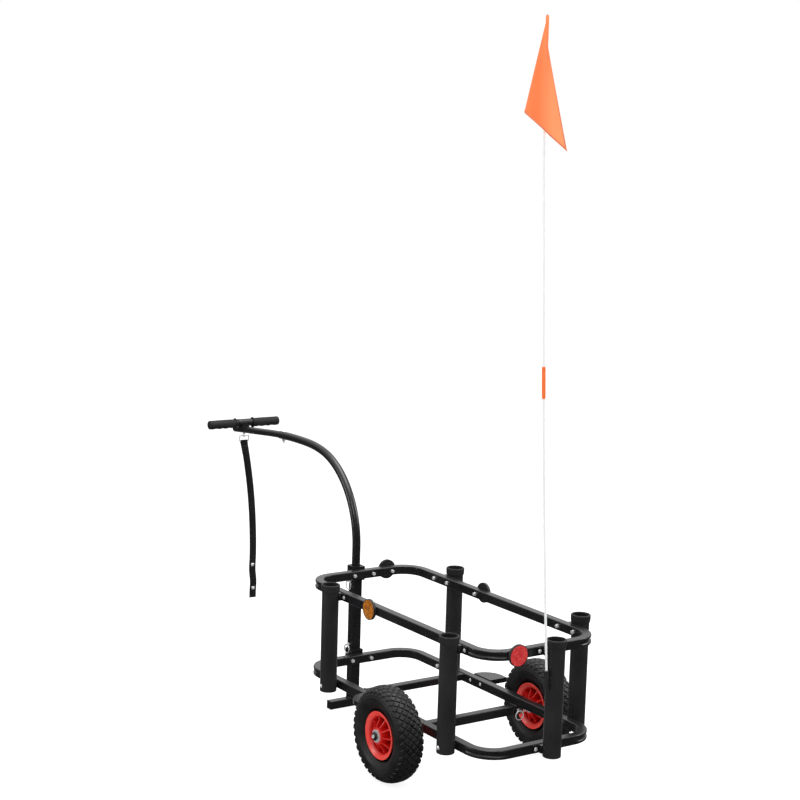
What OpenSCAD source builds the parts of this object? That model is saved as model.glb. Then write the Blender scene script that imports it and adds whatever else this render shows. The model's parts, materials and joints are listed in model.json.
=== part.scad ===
// Beach cart: a welded ring frame on two pneumatic wheels, with a mast and curved
// pull handle at the front (-X), five rod holders, a hand strap and a flag pole.
// Millimetres, +Z up. The axle line is at x = 0 in the helper coordinates below,
// and place() moves everything so that the origin is on the ground, below the
// middle of the overall length.

/* [Frame] */
// Length of the frame rings, outside
frame_l = 897; // [860:1:940]
// Width of the frame rings, outside
frame_w = 380; // [370:1:400]
// Distance from the axle line forward to the front of the rings
frame_front = 557; // [540:1:580]
// Side of the square frame tube
tube = 25; // [24:0.5:26]
// Wall of the frame tube
wall = 1.5; // [1.2:0.1:2]
// Outer bend radius of the ring corners
corner_r = 82; // [76:1:90]
// Height of the top of the upper ring
upper_top = 427.5; // [420:0.5:440]
// Height of the top of the lower ring
lower_top = 167.5; // [167:0.5:169]

/* [Rod holders] */
// Outer diameter of a rod holder tube
holder_od = 48; // [46:0.5:48]
// Bore of a rod holder tube
holder_id = 42; // [38:0.5:43]
// Bottom end of the rod holders
holder_bottom = 138; // [130:1:145]
// Top end of the rod holders, collar included
holder_top = 449; // [440:1:460]
// Distance of the front holders ahead of the axle
holder_front_x = 370; // [360:1:380]
// Distance of the rear side holders behind the axle
holder_rear_x = 210; // [200:1:215]
// Sideways place of the rear end holder
holder_end_y = 7; // [5:0.5:9]

/* [Wheels] */
// Tyre diameter
wheel_d = 260; // [254:1:262]
// Tyre width
tyre_w = 85; // [80:1:88]
// Distance between the two wheel centres
track = 510; // [508:1:516]
// Rim flange diameter
rim_d = 134; // [128:1:138]

/* [Mast and handle] */
// Side of the square mast tube
mast_w = 30; // [29.8:0.1:30.2]
// Distance of the mast's centre ahead of the axle
mast_ahead = 579; // [578:0.5:582]
// Diameter of the curved handle pole
pole_d = 25; // [24.6:0.1:25]
// Diameter of the straight extension inside the pole
ext_d = 21.9; // [21.5:0.1:21.9]
// Width over both hand grips
grips_w = 260; // [240:1:280]
// Length of the parking foot bar on the ground
foot_l = 160; // [140:1:180]

/* [Strap] */
// Width of the strap webbing
strap_w = 25; // [20:1:27]
// Length of the webbing below its ring
strap_l = 535; // [450:1:560]

/* [Flag] */
// Height of the flag pole's top above the ground
flag_top = 1996; // [1900:1:2010]
// Lean of the flag pole to the left
flag_lean = 2.9; // [2:0.1:3.5]
// Diameter of the flag pole
rod_d = 6.4; // [6:0.1:6.6]
// Hoist of the pennant, along the pole
flag_hoist = 285; // [260:1:300]

/* [Hidden] */
$fn = 64;

// Frame
front_x = -frame_front;
rear_x = frame_l - frame_front;
half_w = frame_w / 2;
upper_mid = upper_top - tube / 2;
lower_mid = lower_top - tube / 2;
axle_z = wheel_d / 2;
section_r = 3;
dent_depth = 4;
dent_r = 6.5;
cross_x = -248.5;
cross_w = 25;
cross_h = 20;

// Rod holders: [x, y, direction that the holder stands off the rail in degrees]
holder_r = holder_od / 2;
saddle_t = 2.5;
stand_off = holder_r + saddle_t + 0.1;
side_y = half_w + stand_off;
SIDE_HOLDERS = [
    [-holder_front_x, -side_y, -90], [-holder_front_x, side_y, 90],
    [holder_rear_x, -side_y, -90], [holder_rear_x, side_y, 90]
];
END_HOLDER = [rear_x + stand_off, holder_end_y, 0];
HOLDERS = concat(SIDE_HOLDERS, [END_HOLDER]);
collar_h = 20;
collar_lip = 3;
saddle_h = 21;
saddle_reach = 43;
saddle_pitch = 33;
cheek_y = holder_r - 1;
cheek_x = 13;
spacer_r = 9;

// Fasteners
bolt_r = 3;
hole_r = 3.2;
head_r = 5.6;
head_h = 4;
nut_h = 5;
nut_r = 5.8;

// Reflectors: [x, y, direction in degrees] on the upper rails
reflector_r = 29;
housing_t = 6;
lens_t = 5;
lens_gap = 0.02;
REFLECTORS = [
    [-198, -half_w, -90], [-198, half_w, 90], [rear_x, -98, 0], [front_x, 100, 180]
];

// Side plates, along X ahead of the axle and out from the rail
plate_front = -222;
plate_l = 78;
plate_w = 60;
plate_t = 3;
plate_rim = 14;
plate_low = lower_top - plate_rim + 2;
plate_corner = 52;
PLATE_BOLTS = [-207, -159];
plate_bolt_z = lower_mid + 2;

// Wheels
wheel_y = track / 2;
rim_r = rim_d / 2;
hub_half = 37;
bearing_r = 17.5;
bearing_w = 10;
journal_r = 8.5;
running_gap = 0.05;
shank_r = 10.6;
lock_y = 172;
valve_turn = 0;
valve_at = 46;
valve_tilt = -60;
rib_n = 10;
pin_r = 3;
pin_gap = 0.05;

// Mast and handle
mast_x = -mast_ahead;
mast_wall = 1.8;
mast_top = 424;
foot_h = 25;
bracket_gap = 0.4;
bracket_t = 3;
upper_bracket = [392, 434];
lower_bracket = [136, 178];
upper_pin_z = upper_bracket[0] - pin_r - 0.2;
lower_pin_z = 192;
pole_r = pole_d / 2;
ext_r = ext_d / 2;
pole_foot = 350;
pole_wall = 1.5;
seam = 0.02;
bend_start = 490;
// Bends of the handle, from the vertical forward: [radius, slope before, slope after]
BEND_1 = [265, 90, 12];
BEND_2 = [500, 12, 2];
BEND_3 = [2000, 2, -5];
bend_1_end = [mast_x, bend_start] + arc_step(BEND_1);
bend_2_end = bend_1_end + arc_step(BEND_2);
bend_3_end = bend_2_end + arc_step(BEND_3);
pole_mouth_slope = -2.9;
ext_start_slope = -0.6;
joint_slope = -2.3;
ext_slope = BEND_3[2];
ext_l = 226;
tee_along = 170.3;
tee_y = grips_w / 2 - 3;
tee_r = 11;
tee_rise = ext_r + tee_r + 0.2;
grip_r = 14;
grip_start = 30;
ext_end = bend_3_end + ext_l * [-cos(ext_slope), sin(ext_slope)];
tee_at = bend_3_end + tee_along * [-cos(ext_slope), sin(ext_slope)]
    + tee_rise * [sin(ext_slope), cos(ext_slope)];

// Strap
eye_at = [tee_at[0] + 3, tee_at[1] - tee_rise - ext_r - 7];
eye_r = 6;
wire_r = 1.6;
ring_w = 37;
ring_h = 20;
ring_top = eye_at[1] - eye_r + 3 * wire_r + 0.3;
strap_top = ring_top - ring_h + 1;
strap_t = 2;
strap_drift = 42;
strap_steps = 12;

// Flag
rod_r = rod_d / 2;
socket_at = [rear_x + 32, -24, 322];
socket_h = 50;
socket_r = 7;
clip_z = 335;
clip_h = 22;
clip_t = 3;
clip_turn = 38;
rivet_turn = 29;
rod_len = (flag_top - socket_at[2] - 3) / cos(flag_lean);
rod_start = 4;
split_at = 790;
ferrule_l = 80;
flag_w_left = 58;
flag_w_right = 52;
flag_turn = 56;
flag_thick = 9;
flag_back = rod_r + 0.8;

// Overall length, from the handle's end cap to the pennant's tip
x_low = ext_end[0] - 3 - ext_r * sin(-ext_slope);
x_high = socket_at[0] + flag_w_right * cos(flag_turn) + (flag_thick - flag_back) * sin(flag_turn);
origin_x = -(x_low + x_high) / 2;

STEEL = [0.08, 0.08, 0.085];
PLASTIC = [0.13, 0.13, 0.135];
RUBBER = [0.07, 0.07, 0.07];
ZINC = [0.78, 0.78, 0.8];
RED = [0.83, 0.08, 0.07];
AMBER = [0.9, 0.45, 0.05];
ORANGE = [1, 0.42, 0.15];
WHITE = [0.93, 0.93, 0.92];

// Step from the start to the end of a handle bend, as [x, z]
function arc_step(bend) = bend[0] * [sin(bend[2]) - sin(bend[1]), cos(bend[2]) - cos(bend[1])];
function arc_point(start, bend, slope) = start + arc_step([bend[0], bend[1], slope]);

// Moves from the axle coordinates to the part's own frame
module place() {
    translate([origin_x, 0, 0]) children();
}

// Square with round corners, centred, made of squares and circles
module soft_square(a, b, r) {
    square([a - 2 * r, b], center = true);
    square([a, b - 2 * r], center = true);
    for (sx = [-1, 1], sy = [-1, 1])
        translate([sx * (a / 2 - r), sy * (b / 2 - r)]) circle(r);
}

// Straight tube from one end to the other along X, with the given outside and wall
module tube_x(x0, x1, a, b, w) {
    translate([x0, 0, 0]) rotate([90, 0, 90]) difference() {
        linear_extrude(x1 - x0) soft_square(a, b, section_r);
        translate([0, 0, -1]) linear_extrude(x1 - x0 + 2) square([a - 2 * w, b - 2 * w], center = true);
    }
}

// One bar of a ring's loop along X or Y, solid, with side s
module loop_bars(s, r) {
    lx = frame_l / 2 - corner_r;
    ly = half_w - corner_r;
    for (side = [-1, 1]) {
        translate([-lx, side * (half_w - tube / 2), 0])
            rotate([90, 0, 90]) linear_extrude(2 * lx) soft_square(s, s, r);
        translate([side * (frame_l / 2 - tube / 2), ly, 0])
            rotate([90, 0, 0]) linear_extrude(2 * ly) soft_square(s, s, r);
    }
}

module at_corners() {
    lx = frame_l / 2 - corner_r;
    ly = half_w - corner_r;
    for (c = [[lx, ly, 0], [-lx, ly, 90], [-lx, -ly, 180], [lx, -ly, 270]])
        translate([c[0], c[1], 0]) rotate([0, 0, c[2]]) children();
}

// A closed ring of square tube whose bends are dented along their outer wall
module frame_ring(mid_z) {
    mid_r = corner_r - tube / 2;
    shift = dent_depth / (1 - cos(45));
    dent_path = corner_r + dent_r - dent_depth + shift;
    inner = tube - 2 * wall;
    translate([(front_x + rear_x) / 2, 0, mid_z]) difference() {
        union() {
            loop_bars(tube, section_r);
            at_corners() rotate_extrude(angle = 90)
                translate([mid_r, 0]) soft_square(tube, tube, section_r);
        }
        loop_bars(inner, 0.5);
        at_corners() rotate_extrude(angle = 90)
            translate([mid_r - dent_depth / 2 - 0.4, 0])
                square([inner - dent_depth - 0.8, inner], center = true);
        at_corners() rotate([0, 0, 45]) translate([-shift, 0, 0]) rotate([0, 0, -50])
            rotate_extrude(angle = 100) translate([dent_path, 0]) circle(dent_r);
    }
}

// Places children at each bolt of the upper saddles and of the rear lower one,
// with +X pointing away from the rail and the origin on the rail's outer face
module at_saddle_bolts() {
    for (h = HOLDERS, s = [-1, 1])
        translate([h[0], h[1], upper_mid]) rotate([0, 0, h[2]])
            translate([-stand_off, s * saddle_pitch, 0]) children();
    for (s = [-1, 1])
        translate([END_HOLDER[0] - stand_off, END_HOLDER[1] + s * saddle_pitch, lower_mid]) children();
}

module at_bracket_bolts() {
    for (z = [upper_mid, lower_mid], s = [-1, 1])
        translate([front_x, s * saddle_pitch, z]) rotate([0, 0, 180]) children();
}

module at_side_holders() {
    for (h = SIDE_HOLDERS)
        translate([h[0], h[1], lower_mid]) rotate([0, 0, h[2]]) children();
}

module at_reflectors() {
    for (p = REFLECTORS)
        translate([p[0], p[1], upper_mid]) rotate([0, 0, p[2]]) children();
}

module at_plate_bolts() {
    for (side = [-1, 1], x = PLATE_BOLTS)
        translate([x, side * half_w, plate_bolt_z]) rotate([0, 0, side * 90]) children();
}

// Hole along X through a rail that starts at the origin and goes to -X, or through
// the start of its bend
module rail_hole() {
    translate([-tube - 3, 0, 0]) rotate([0, 90, 0]) cylinder(h = tube + 4, r = hole_r);
}

// Button-head bolt along X: shank from -length to lift, head beyond it
module bolt(length, lift, r = head_r) {
    rotate([0, 90, 0]) {
        translate([0, 0, -length]) cylinder(h = length + lift, r = bolt_r);
        translate([0, 0, lift]) rotate_extrude() intersection() {
            translate([0, -r * 0.85]) circle(r * 1.25 + 0.35);
            square([r, head_h]);
        }
    }
}

// How far the inner wall of a ring falls away under a nut whose centre lies this
// far past the start of the bend
function bend_gap(past) =
    past + nut_r <= 0 ? 0 : corner_r - tube - sqrt(pow(corner_r - tube, 2) - pow(past + nut_r, 2)) + 0.05;

module hex_nut(at_x) {
    translate([at_x - nut_h, 0, 0]) rotate([0, 90, 0]) difference() {
        cylinder(h = nut_h, r = nut_r, $fn = 6);
        translate([0, 0, -1]) cylinder(h = nut_h + 2, r = bolt_r + 0.05);
    }
}

// Frame

module upper_ring() {
    color(STEEL) place() difference() {
        frame_ring(upper_mid);
        at_saddle_bolts() rail_hole();
        at_bracket_bolts() rail_hole();
        at_reflectors() rail_hole();
    }
}

module lower_ring() {
    color(STEEL) place() difference() {
        frame_ring(lower_mid);
        at_saddle_bolts() rail_hole();
        at_bracket_bolts() rail_hole();
        at_plate_bolts() rail_hole();
        at_side_holders() translate([-stand_off, 0, 0]) rail_hole();
    }
}

module front_crossbar() {
    inside = half_w - tube;
    color(STEEL) place() translate([cross_x, 0, lower_top - cross_h / 2]) rotate([0, 0, 90])
        tube_x(-inside, inside, cross_w, cross_h, wall);
}

module axle_beam() {
    color(STEEL) place() difference() {
        translate([0, 0, axle_z]) rotate([0, 0, 90]) tube_x(-half_w, half_w, tube, tube, wall);
        for (s = [-1, 1])
            translate([-tube, s * lock_y, axle_z])
                rotate([0, 90, 0]) cylinder(h = 2 * tube, r = pin_r + pin_gap);
    }
}

// Rod holders

module rod_holder(h, has_stop) {
    bottom_bore = holder_id / 2 - 1;
    color(PLASTIC) place() translate([h[0], h[1], 0]) difference() {
        translate([0, 0, holder_bottom]) rotate_extrude() difference() {
            union() {
                translate([0, 2]) square([holder_r, holder_top - collar_lip - holder_bottom - 2]);
                square([holder_r - 2, 3]);
                translate([holder_r - 2, 2]) circle(2);
            }
            translate([-1, -1]) square([bottom_bore + 1, 40]);
            translate([-1, 27]) square([holder_id / 2 + 1, 400]);
        }
        if (has_stop)
            translate([0, 0, lower_mid]) rotate([0, 90, h[2]]) cylinder(h = 100, r = hole_r, center = true);
    }
}

module rod_holder_front_left() { rod_holder(SIDE_HOLDERS[0], true); }
module rod_holder_front_right() { rod_holder(SIDE_HOLDERS[1], true); }
module rod_holder_rear_left() { rod_holder(SIDE_HOLDERS[2], true); }
module rod_holder_rear_right() { rod_holder(SIDE_HOLDERS[3], true); }
module rod_holder_rear_end() { rod_holder(END_HOLDER, false); }

module holder_collars() {
    r_low = holder_r + 0.05;
    r_top = holder_r + collar_lip;
    for (h = HOLDERS)
        color(RUBBER) place() translate([h[0], h[1], holder_top - collar_h]) rotate_extrude()
            polygon([
                [r_low, 0], [r_low + 1.6, 0], [r_top - 0.4, 5], [r_top, collar_h - 2],
                [r_top - 1.5, collar_h], [holder_r - 1.3, collar_h], [holder_r - 2, collar_h - 0.7],
                [holder_r - 2, collar_h - collar_lip + 0.05], [r_low, collar_h - collar_lip + 0.05]
            ]);
}

// Steel cradle between a holder and the rail: a plate with two bolted ears and a
// cheek on each side of the holder's back
module saddle() {
    translate([0, 0, -saddle_h / 2]) difference() {
        union() {
            translate([-stand_off, -saddle_reach, 0]) cube([saddle_t, 2 * saddle_reach, saddle_h]);
            translate([-stand_off, -cheek_y, 0]) cube([cheek_x, 2 * cheek_y, saddle_h]);
        }
        translate([0, 0, -1]) cylinder(h = saddle_h + 2, r = holder_r + 0.05);
        for (s = [-1, 1])
            translate([-stand_off - 5, s * saddle_pitch, saddle_h / 2])
                rotate([0, 90, 0]) cylinder(h = 20, r = hole_r);
    }
}

module holder_saddles() {
    color(STEEL) place() {
        for (h = HOLDERS)
            translate([h[0], h[1], upper_mid]) rotate([0, 0, h[2]]) saddle();
        translate([END_HOLDER[0], END_HOLDER[1], lower_mid]) saddle();
        at_side_holders() translate([-stand_off, 0, 0]) rotate([0, 90, 0]) difference() {
            cylinder(h = saddle_t, r = spacer_r);
            translate([0, 0, -1]) cylinder(h = saddle_t + 2, r = hole_r);
        }
    }
}

module saddle_bolts() {
    color(ZINC) place() at_saddle_bolts() bolt(tube + nut_h + 1, saddle_t);
}

module saddle_nuts() {
    color(ZINC) place() at_saddle_bolts()
        hex_nut(-tube - bend_gap(holder_rear_x + saddle_pitch - rear_x + corner_r));
}

module holder_through_bolts() {
    inner_face = -stand_off - tube;
    color(ZINC) place() at_side_holders() {
        bolt(-inner_face + nut_h + 1, holder_r);
        hex_nut(inner_face);
    }
}

// Mast brackets: a square sleeve on a back plate with two ears

module mast_bracket(z) {
    inner = mast_w + 2 * bracket_gap;
    outer = inner + 2 * bracket_t;
    h = z[1] - z[0];
    ear_h = 22;
    bolt_z = z[0] < lower_top ? lower_mid : upper_mid;
    color(STEEL) place() difference() {
        union() {
            translate([mast_x - outer / 2, -outer / 2, z[0]])
                cube([front_x - mast_x + outer / 2, outer, h]);
            translate([front_x - bracket_t, -saddle_reach, bolt_z - ear_h / 2])
                cube([bracket_t, 2 * saddle_reach, ear_h]);
        }
        translate([mast_x - inner / 2, -inner / 2, z[0] - 1]) cube([inner, inner, h + 2]);
        for (s = [-1, 1])
            translate([front_x - 10, s * saddle_pitch, bolt_z])
                rotate([0, 90, 0]) cylinder(h = 20, r = hole_r);
    }
}

module mast_bracket_upper() { mast_bracket(upper_bracket); }
module mast_bracket_lower() { mast_bracket(lower_bracket); }

module bracket_bolts() {
    color(ZINC) place() at_bracket_bolts() {
        bolt(tube + nut_h + 1, bracket_t);
        hex_nut(-tube);
    }
}

// Side plates: pressed steps outside the lower rails, with a down-turned rim

module side_plate_shape(inset) {
    near = inset > 0 ? inset : 0;
    r = plate_corner - inset;
    x = plate_front + inset;
    w = plate_w - inset;
    translate([x + r, near]) square([plate_l - 2 * inset - r, w - near]);
    translate([x, near]) square([r + 1, w - near - r]);
    intersection() {
        translate([x + r, w - r]) circle(r);
        translate([x, near]) square([r + 1, w - near]);
    }
}

module side_plate(side) {
    color(STEEL) place() scale([1, side, 1]) translate([0, half_w, plate_low]) difference() {
        linear_extrude(plate_rim) side_plate_shape(0);
        translate([0, 0, -1]) linear_extrude(plate_rim - plate_t + 1) side_plate_shape(plate_t);
        for (x = PLATE_BOLTS)
            translate([x, -1, plate_bolt_z - plate_low]) rotate([-90, 0, 0]) cylinder(h = 10, r = hole_r);
    }
}

module side_plate_left() { side_plate(-1); }
module side_plate_right() { side_plate(1); }

module side_plate_bolts() {
    color(ZINC) place() at_plate_bolts() translate([plate_t, 0, 0]) rotate([0, 0, 180]) {
        bolt(4, tube + plate_t, 5);
        hex_nut(-0.05);
    }
}

// Reflectors

module reflector_housings() {
    color(PLASTIC) place() at_reflectors() rotate([0, 90, 0]) difference() {
        union() {
            cylinder(h = 2, r = 10);
            translate([0, 0, 2]) cylinder(h = housing_t + lens_t - 3.5, r = reflector_r);
        }
        translate([0, 0, housing_t]) cylinder(h = lens_t, r = reflector_r - 2);
        translate([0, 0, -1]) cylinder(h = housing_t + 2, r = hole_r);
    }
}

module reflector_bolts() {
    tail = tube + nut_h + 3;
    color(ZINC) place() for (p = REFLECTORS)
        translate([p[0], p[1], upper_mid]) rotate([0, 0, p[2]]) {
            rotate([0, 90, 0]) translate([0, 0, -tail]) cylinder(h = tail + housing_t - 0.2, r = bolt_r);
            hex_nut(-tube - bend_gap(p[2] % 180 == 0 ? abs(p[1]) - half_w + corner_r : -nut_r));
        }
}

module lens(i, tint) {
    p = REFLECTORS[i];
    color(tint) place() translate([p[0], p[1], upper_mid]) rotate([0, 90, p[2]])
        translate([0, 0, housing_t + lens_gap]) rotate_extrude() intersection() {
            translate([0, lens_t - 0.5 - 130]) circle(130, $fn = 200);
            square([reflector_r - 2.1, lens_t]);
        }
}

module lens_left() { lens(0, AMBER); }
module lens_right() { lens(1, AMBER); }
module lens_rear() { lens(2, RED); }
module lens_front() { lens(3, WHITE); }

// Axle. Every piece is drawn for the right side (+Y) and mirrored for the left.

module for_side(side) {
    scale([1, side, 1]) children();
}

// Turns a profile drawn as [radius, distance out along Y] round the axle line
module turned() {
    translate([0, 0, axle_z]) rotate([-90, 0, 0]) rotate_extrude() children();
}

module stub_axle(side) {
    color(ZINC) place() for_side(side) difference() {
        turned() {
            translate([0, 120]) square([shank_r, 70]);
            translate([0, 190]) square([13, wheel_y - hub_half - 190 - 0.3]);
            translate([0, 200]) square([journal_r, 100]);
        }
        translate([-tube, lock_y, axle_z]) rotate([0, 90, 0]) cylinder(h = 2 * tube, r = pin_r + pin_gap);
    }
}

module stub_axle_left() { stub_axle(-1); }
module stub_axle_right() { stub_axle(1); }

module axle_washers() {
    color(ZINC) place() for (s = [-1, 1]) for_side(s) turned()
        translate([journal_r + 0.05, wheel_y + hub_half + 0.3]) square([17 - journal_r, 2]);
}

module axle_nuts() {
    color(STEEL) place() for (s = [-1, 1]) for_side(s) {
        translate([0, wheel_y + hub_half + 2.4, axle_z]) rotate([-90, 0, 0]) difference() {
            cylinder(h = 5, r = 12, $fn = 6);
            translate([0, 0, -1]) cylinder(h = 7, r = journal_r + 0.05);
        }
        turned() difference() {
            translate([0, wheel_y + hub_half + 7.45]) square([10.2, 4]);
            translate([-1, wheel_y + hub_half + 7]) square([journal_r + 1.05, 2]);
        }
    }
}

// Lock pin across the beam and the stub axle, with its pull ring at the rear
module axle_pin(side) {
    ring_x = tube / 2 + 8;
    color(ZINC) place() for_side(side) translate([0, lock_y, axle_z]) {
        difference() {
            union() {
                rotate([0, 90, 0]) translate([0, 0, -tube / 2 - 5]) cylinder(h = tube + 18, r = pin_r);
                translate([tube / 2 + 0.2, 0, 0]) rotate([0, 90, 0]) cylinder(h = 3, r = 6);
            }
            translate([ring_x, -10, 0]) rotate([-90, 0, 0]) cylinder(h = 20, r = wire_r + 0.2);
        }
        translate([ring_x, 0, 0]) pull_ring();
    }
}

// Wire ring hanging in the plane across the given pin, threaded through its eye
module pull_ring() {
    r = 13;
    translate([0, 0, -r]) rotate([0, 90, 0]) rotate_extrude() translate([r, 0]) circle(wire_r, $fn = 24);
}

module axle_pin_left() { axle_pin(-1); }
module axle_pin_right() { axle_pin(1); }

// Wheels

// Section of the tyre as [radius, distance from the centre plane], from radius low outwards
module tyre_profile(grow, low) {
    half = tyre_w / 2 + grow;
    crown = wheel_d / 2 + grow;
    side_r = 30 + grow;
    bead_half = 24.9 + grow;
    intersection() {
        translate([crown - 92, 0]) circle(92, $fn = 160);
        union() {
            translate([crown - 33 - grow, half - side_r]) circle(side_r, $fn = 96);
            translate([crown - 33 - grow, side_r - half]) circle(side_r, $fn = 96);
            translate([62, side_r - half]) square([crown - 64 - grow, 2 * (half - side_r)]);
            translate([low, -bead_half]) square([crown - low - grow, 2 * bead_half]);
        }
        translate([low, -half]) square([crown - low, 2 * half]);
    }
}

module tyre(side) {
    color(RUBBER) place() for_side(side) turned() translate([0, wheel_y]) difference() {
        tyre_profile(0, 56);
        tyre_profile(-7, 60);
        translate([50, -19]) square([20, 38]);
    }
}

module inner_tube(side) {
    color(RUBBER) place() for_side(side) {
        turned() translate([0, wheel_y]) difference() {
            tyre_profile(-7.2, 54.2);
            tyre_profile(-9, 56);
        }
        valve_stem(3.5, 3);
    }
}

// Valve stem: leaves the tube through the rim well and bends outwards
module valve_stem(r, tip_r) {
    translate([0, wheel_y, axle_z]) rotate([0, valve_turn, 0]) translate([0, 0, valve_at - 8]) {
        cylinder(h = 20, r = r);
        sphere(r);
        rotate([valve_tilt, 0, 0]) cylinder(h = 20, r = tip_r);
    }
}

// Rim: well and flanges, a centre web, ribs on both sides and the hub barrel
module rim(side) {
    well = 49;
    core_half = hub_half - bearing_w - 0.05;
    color(RED) place() for_side(side) difference() {
        union() {
            turned() translate([0, wheel_y]) {
                translate([well - 4, -31]) square([4, 62]);
                for (s = [-1, 1]) {
                    translate([well - 4, s * 28 - 3]) square([rim_r - well + 2, 6]);
                    translate([rim_r - 2, s * 28]) circle(3, $fn = 32);
                    translate([well - 4, s * 20 - 8]) square([8, 16]);
                }
                translate([20, -3]) square([well - 20, 6]);
                translate([bearing_r, -hub_half]) square([5.5, 2 * hub_half]);
                translate([journal_r + 2, -core_half]) square([14, 2 * core_half]);
            }
            for (i = [0:rib_n - 1])
                translate([0, wheel_y, axle_z]) rotate([0, (i + 0.5) * 360 / rib_n, 0])
                    rotate([0, 0, 90]) translate([0, 2, 0]) rotate([90, 0, 0]) linear_extrude(4)
                        polygon([[-34, 20], [34, 20], [24, 47], [-24, 47]]);
        }
        valve_stem(4.2, 4.2);
    }
}

module bearings(side) {
    color(ZINC) place() for_side(side) turned() translate([0, wheel_y]) for (s = [-1, 1])
        translate([journal_r + running_gap, s * (hub_half - bearing_w / 2) - bearing_w / 2])
            square([bearing_r - journal_r - running_gap, bearing_w]);
}

module tyre_left() { tyre(-1); }
module tyre_right() { tyre(1); }
module inner_tube_left() { inner_tube(-1); }
module inner_tube_right() { inner_tube(1); }
module rim_left() { rim(-1); }
module rim_right() { rim(1); }
module bearings_left() { bearings(-1); }
module bearings_right() { bearings(1); }

// Mast and handle

// Hole along Y for a lock pin through the mast
module mast_pin_hole(z) {
    translate([mast_x, -40, z]) rotate([-90, 0, 0]) cylinder(h = 80, r = pin_r + pin_gap);
}

module mast_tube() {
    color(STEEL) place() difference() {
        translate([mast_x, 0, foot_h]) rotate([0, -90, 0])
            tube_x(0, mast_top - foot_h, mast_w, mast_w, mast_wall);
        mast_pin_hole(upper_pin_z);
        mast_pin_hole(lower_pin_z);
    }
}

module mast_collar() {
    color(PLASTIC) place() translate([mast_x, 0, mast_top + 0.05]) difference() {
        linear_extrude(9) soft_square(mast_w, mast_w, 5);
        translate([0, 0, -1]) cylinder(h = 12, r = pole_r + 0.05);
    }
}

// One bend of the handle's round tube, from slope a to slope b (both in the bend)
module handle_bend(start, bend, a, b, r) {
    centre = start - bend[0] * [sin(bend[1]), cos(bend[1])];
    translate([centre[0], 0, centre[1]]) rotate([90, 0, 0]) rotate([0, 0, 90 - a])
        rotate_extrude(angle = a - b, $fn = 360) translate([bend[0], 0]) circle(r, $fn = 64);
}

// Straight foot of the pole, then its three bends, each with its own wall
module pole_foot_run(r, past) {
    translate([mast_x, 0, pole_foot - past]) cylinder(h = bend_start - pole_foot + 2 * past, r = r);
}

// Each bend ends a hair short of the next, so that every length is a solid of its own
module hollow_bend(start, bend, a, b, r, w) {
    past = 0.1;
    short = seam / bend[0] * 180 / PI;
    difference() {
        handle_bend(start, bend, a - short, b, r);
        handle_bend(start, bend, a + past, b - past, r - w);
    }
}

// Cross hole for the bolt that fixes the extension in the pole
module at_joint_bolt() {
    p = arc_point(bend_2_end, BEND_3, joint_slope);
    translate([p[0], 0, p[1]]) rotate([0, joint_slope, 0]) children();
}

module handle_pole() {
    color(STEEL) place() {
        difference() {
            pole_foot_run(pole_r, 0);
            pole_foot_run(pole_r - pole_wall, 1);
            mast_pin_hole(upper_pin_z);
        }
        hollow_bend([mast_x, bend_start], BEND_1, BEND_1[1], BEND_1[2], pole_r, pole_wall);
        hollow_bend(bend_1_end, BEND_2, BEND_2[1], BEND_2[2], pole_r, pole_wall);
        difference() {
            hollow_bend(bend_2_end, BEND_3, BEND_3[1], pole_mouth_slope, pole_r, pole_wall);
            at_joint_bolt() cylinder(h = 60, r = bolt_r + 0.1, center = true);
        }
    }
}

module along_extension(at) {
    translate([bend_3_end[0], 0, bend_3_end[1]]) rotate([0, ext_slope, 0]) translate([-at, 0, 0]) children();
}

module handle_extension() {
    color(STEEL) place() {
        difference() {
            hollow_bend(bend_2_end, BEND_3, ext_start_slope, ext_slope, ext_r, pole_wall);
            at_joint_bolt() cylinder(h = 60, r = bolt_r + 0.1, center = true);
        }
        difference() {
            along_extension(ext_l) rotate([0, 90, 0]) cylinder(h = ext_l - seam, r = ext_r);
            along_extension(ext_l + 1) rotate([0, 90, 0]) cylinder(h = ext_l + 2, r = ext_r - pole_wall);
            along_extension(tee_along) cylinder(h = 80, r = bolt_r + 0.1, center = true);
        }
    }
}

module extension_cap() {
    color(PLASTIC) place() along_extension(ext_l) rotate([0, -90, 0]) {
        translate([0, 0, -14]) cylinder(h = 15, r = ext_r - pole_wall - 0.1);
        translate([0, 0, 0.02]) cylinder(h = 2.98, r = ext_r);
    }
}

module tee_bar() {
    color(STEEL) place() translate([tee_at[0], 0, tee_at[1]]) difference() {
        rotate([90, 0, 0]) cylinder(h = 2 * tee_y, r = tee_r, center = true);
        rotate([90, 0, 0]) cylinder(h = 2 * tee_y + 2, r = tee_r - pole_wall, center = true);
        rotate([0, ext_slope, 0]) cylinder(h = 60, r = bolt_r + 0.1, center = true);
    }
}

// Saddle over the tee bar that ties it down on the extension
module tee_clamp() {
    h = tee_rise + 2;
    color(STEEL) place() translate([tee_at[0], 0, tee_at[1]]) rotate([0, ext_slope, 0]) difference() {
        union() {
            rotate([90, 0, 0]) cylinder(h = 46, r = tee_r + 2.6, center = true);
            translate([-tee_r - 2.6, -13, -h]) cube([2 * tee_r + 5.2, 26, h]);
        }
        rotate([90, 0, 0]) cylinder(h = 60, r = tee_r + 0.05, center = true);
        translate([-30, 0, -tee_rise]) rotate([0, 90, 0]) cylinder(h = 60, r = ext_r + 0.05);
        translate([-20, -30, -h - 20]) cube([40, 60, 20]);
        translate([-20, 13.01, -40]) cube([40, 20, 40]);
        translate([-20, -33.01, -40]) cube([40, 20, 40]);
        cylinder(h = 80, r = bolt_r + 0.1, center = true);
    }
}

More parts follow.
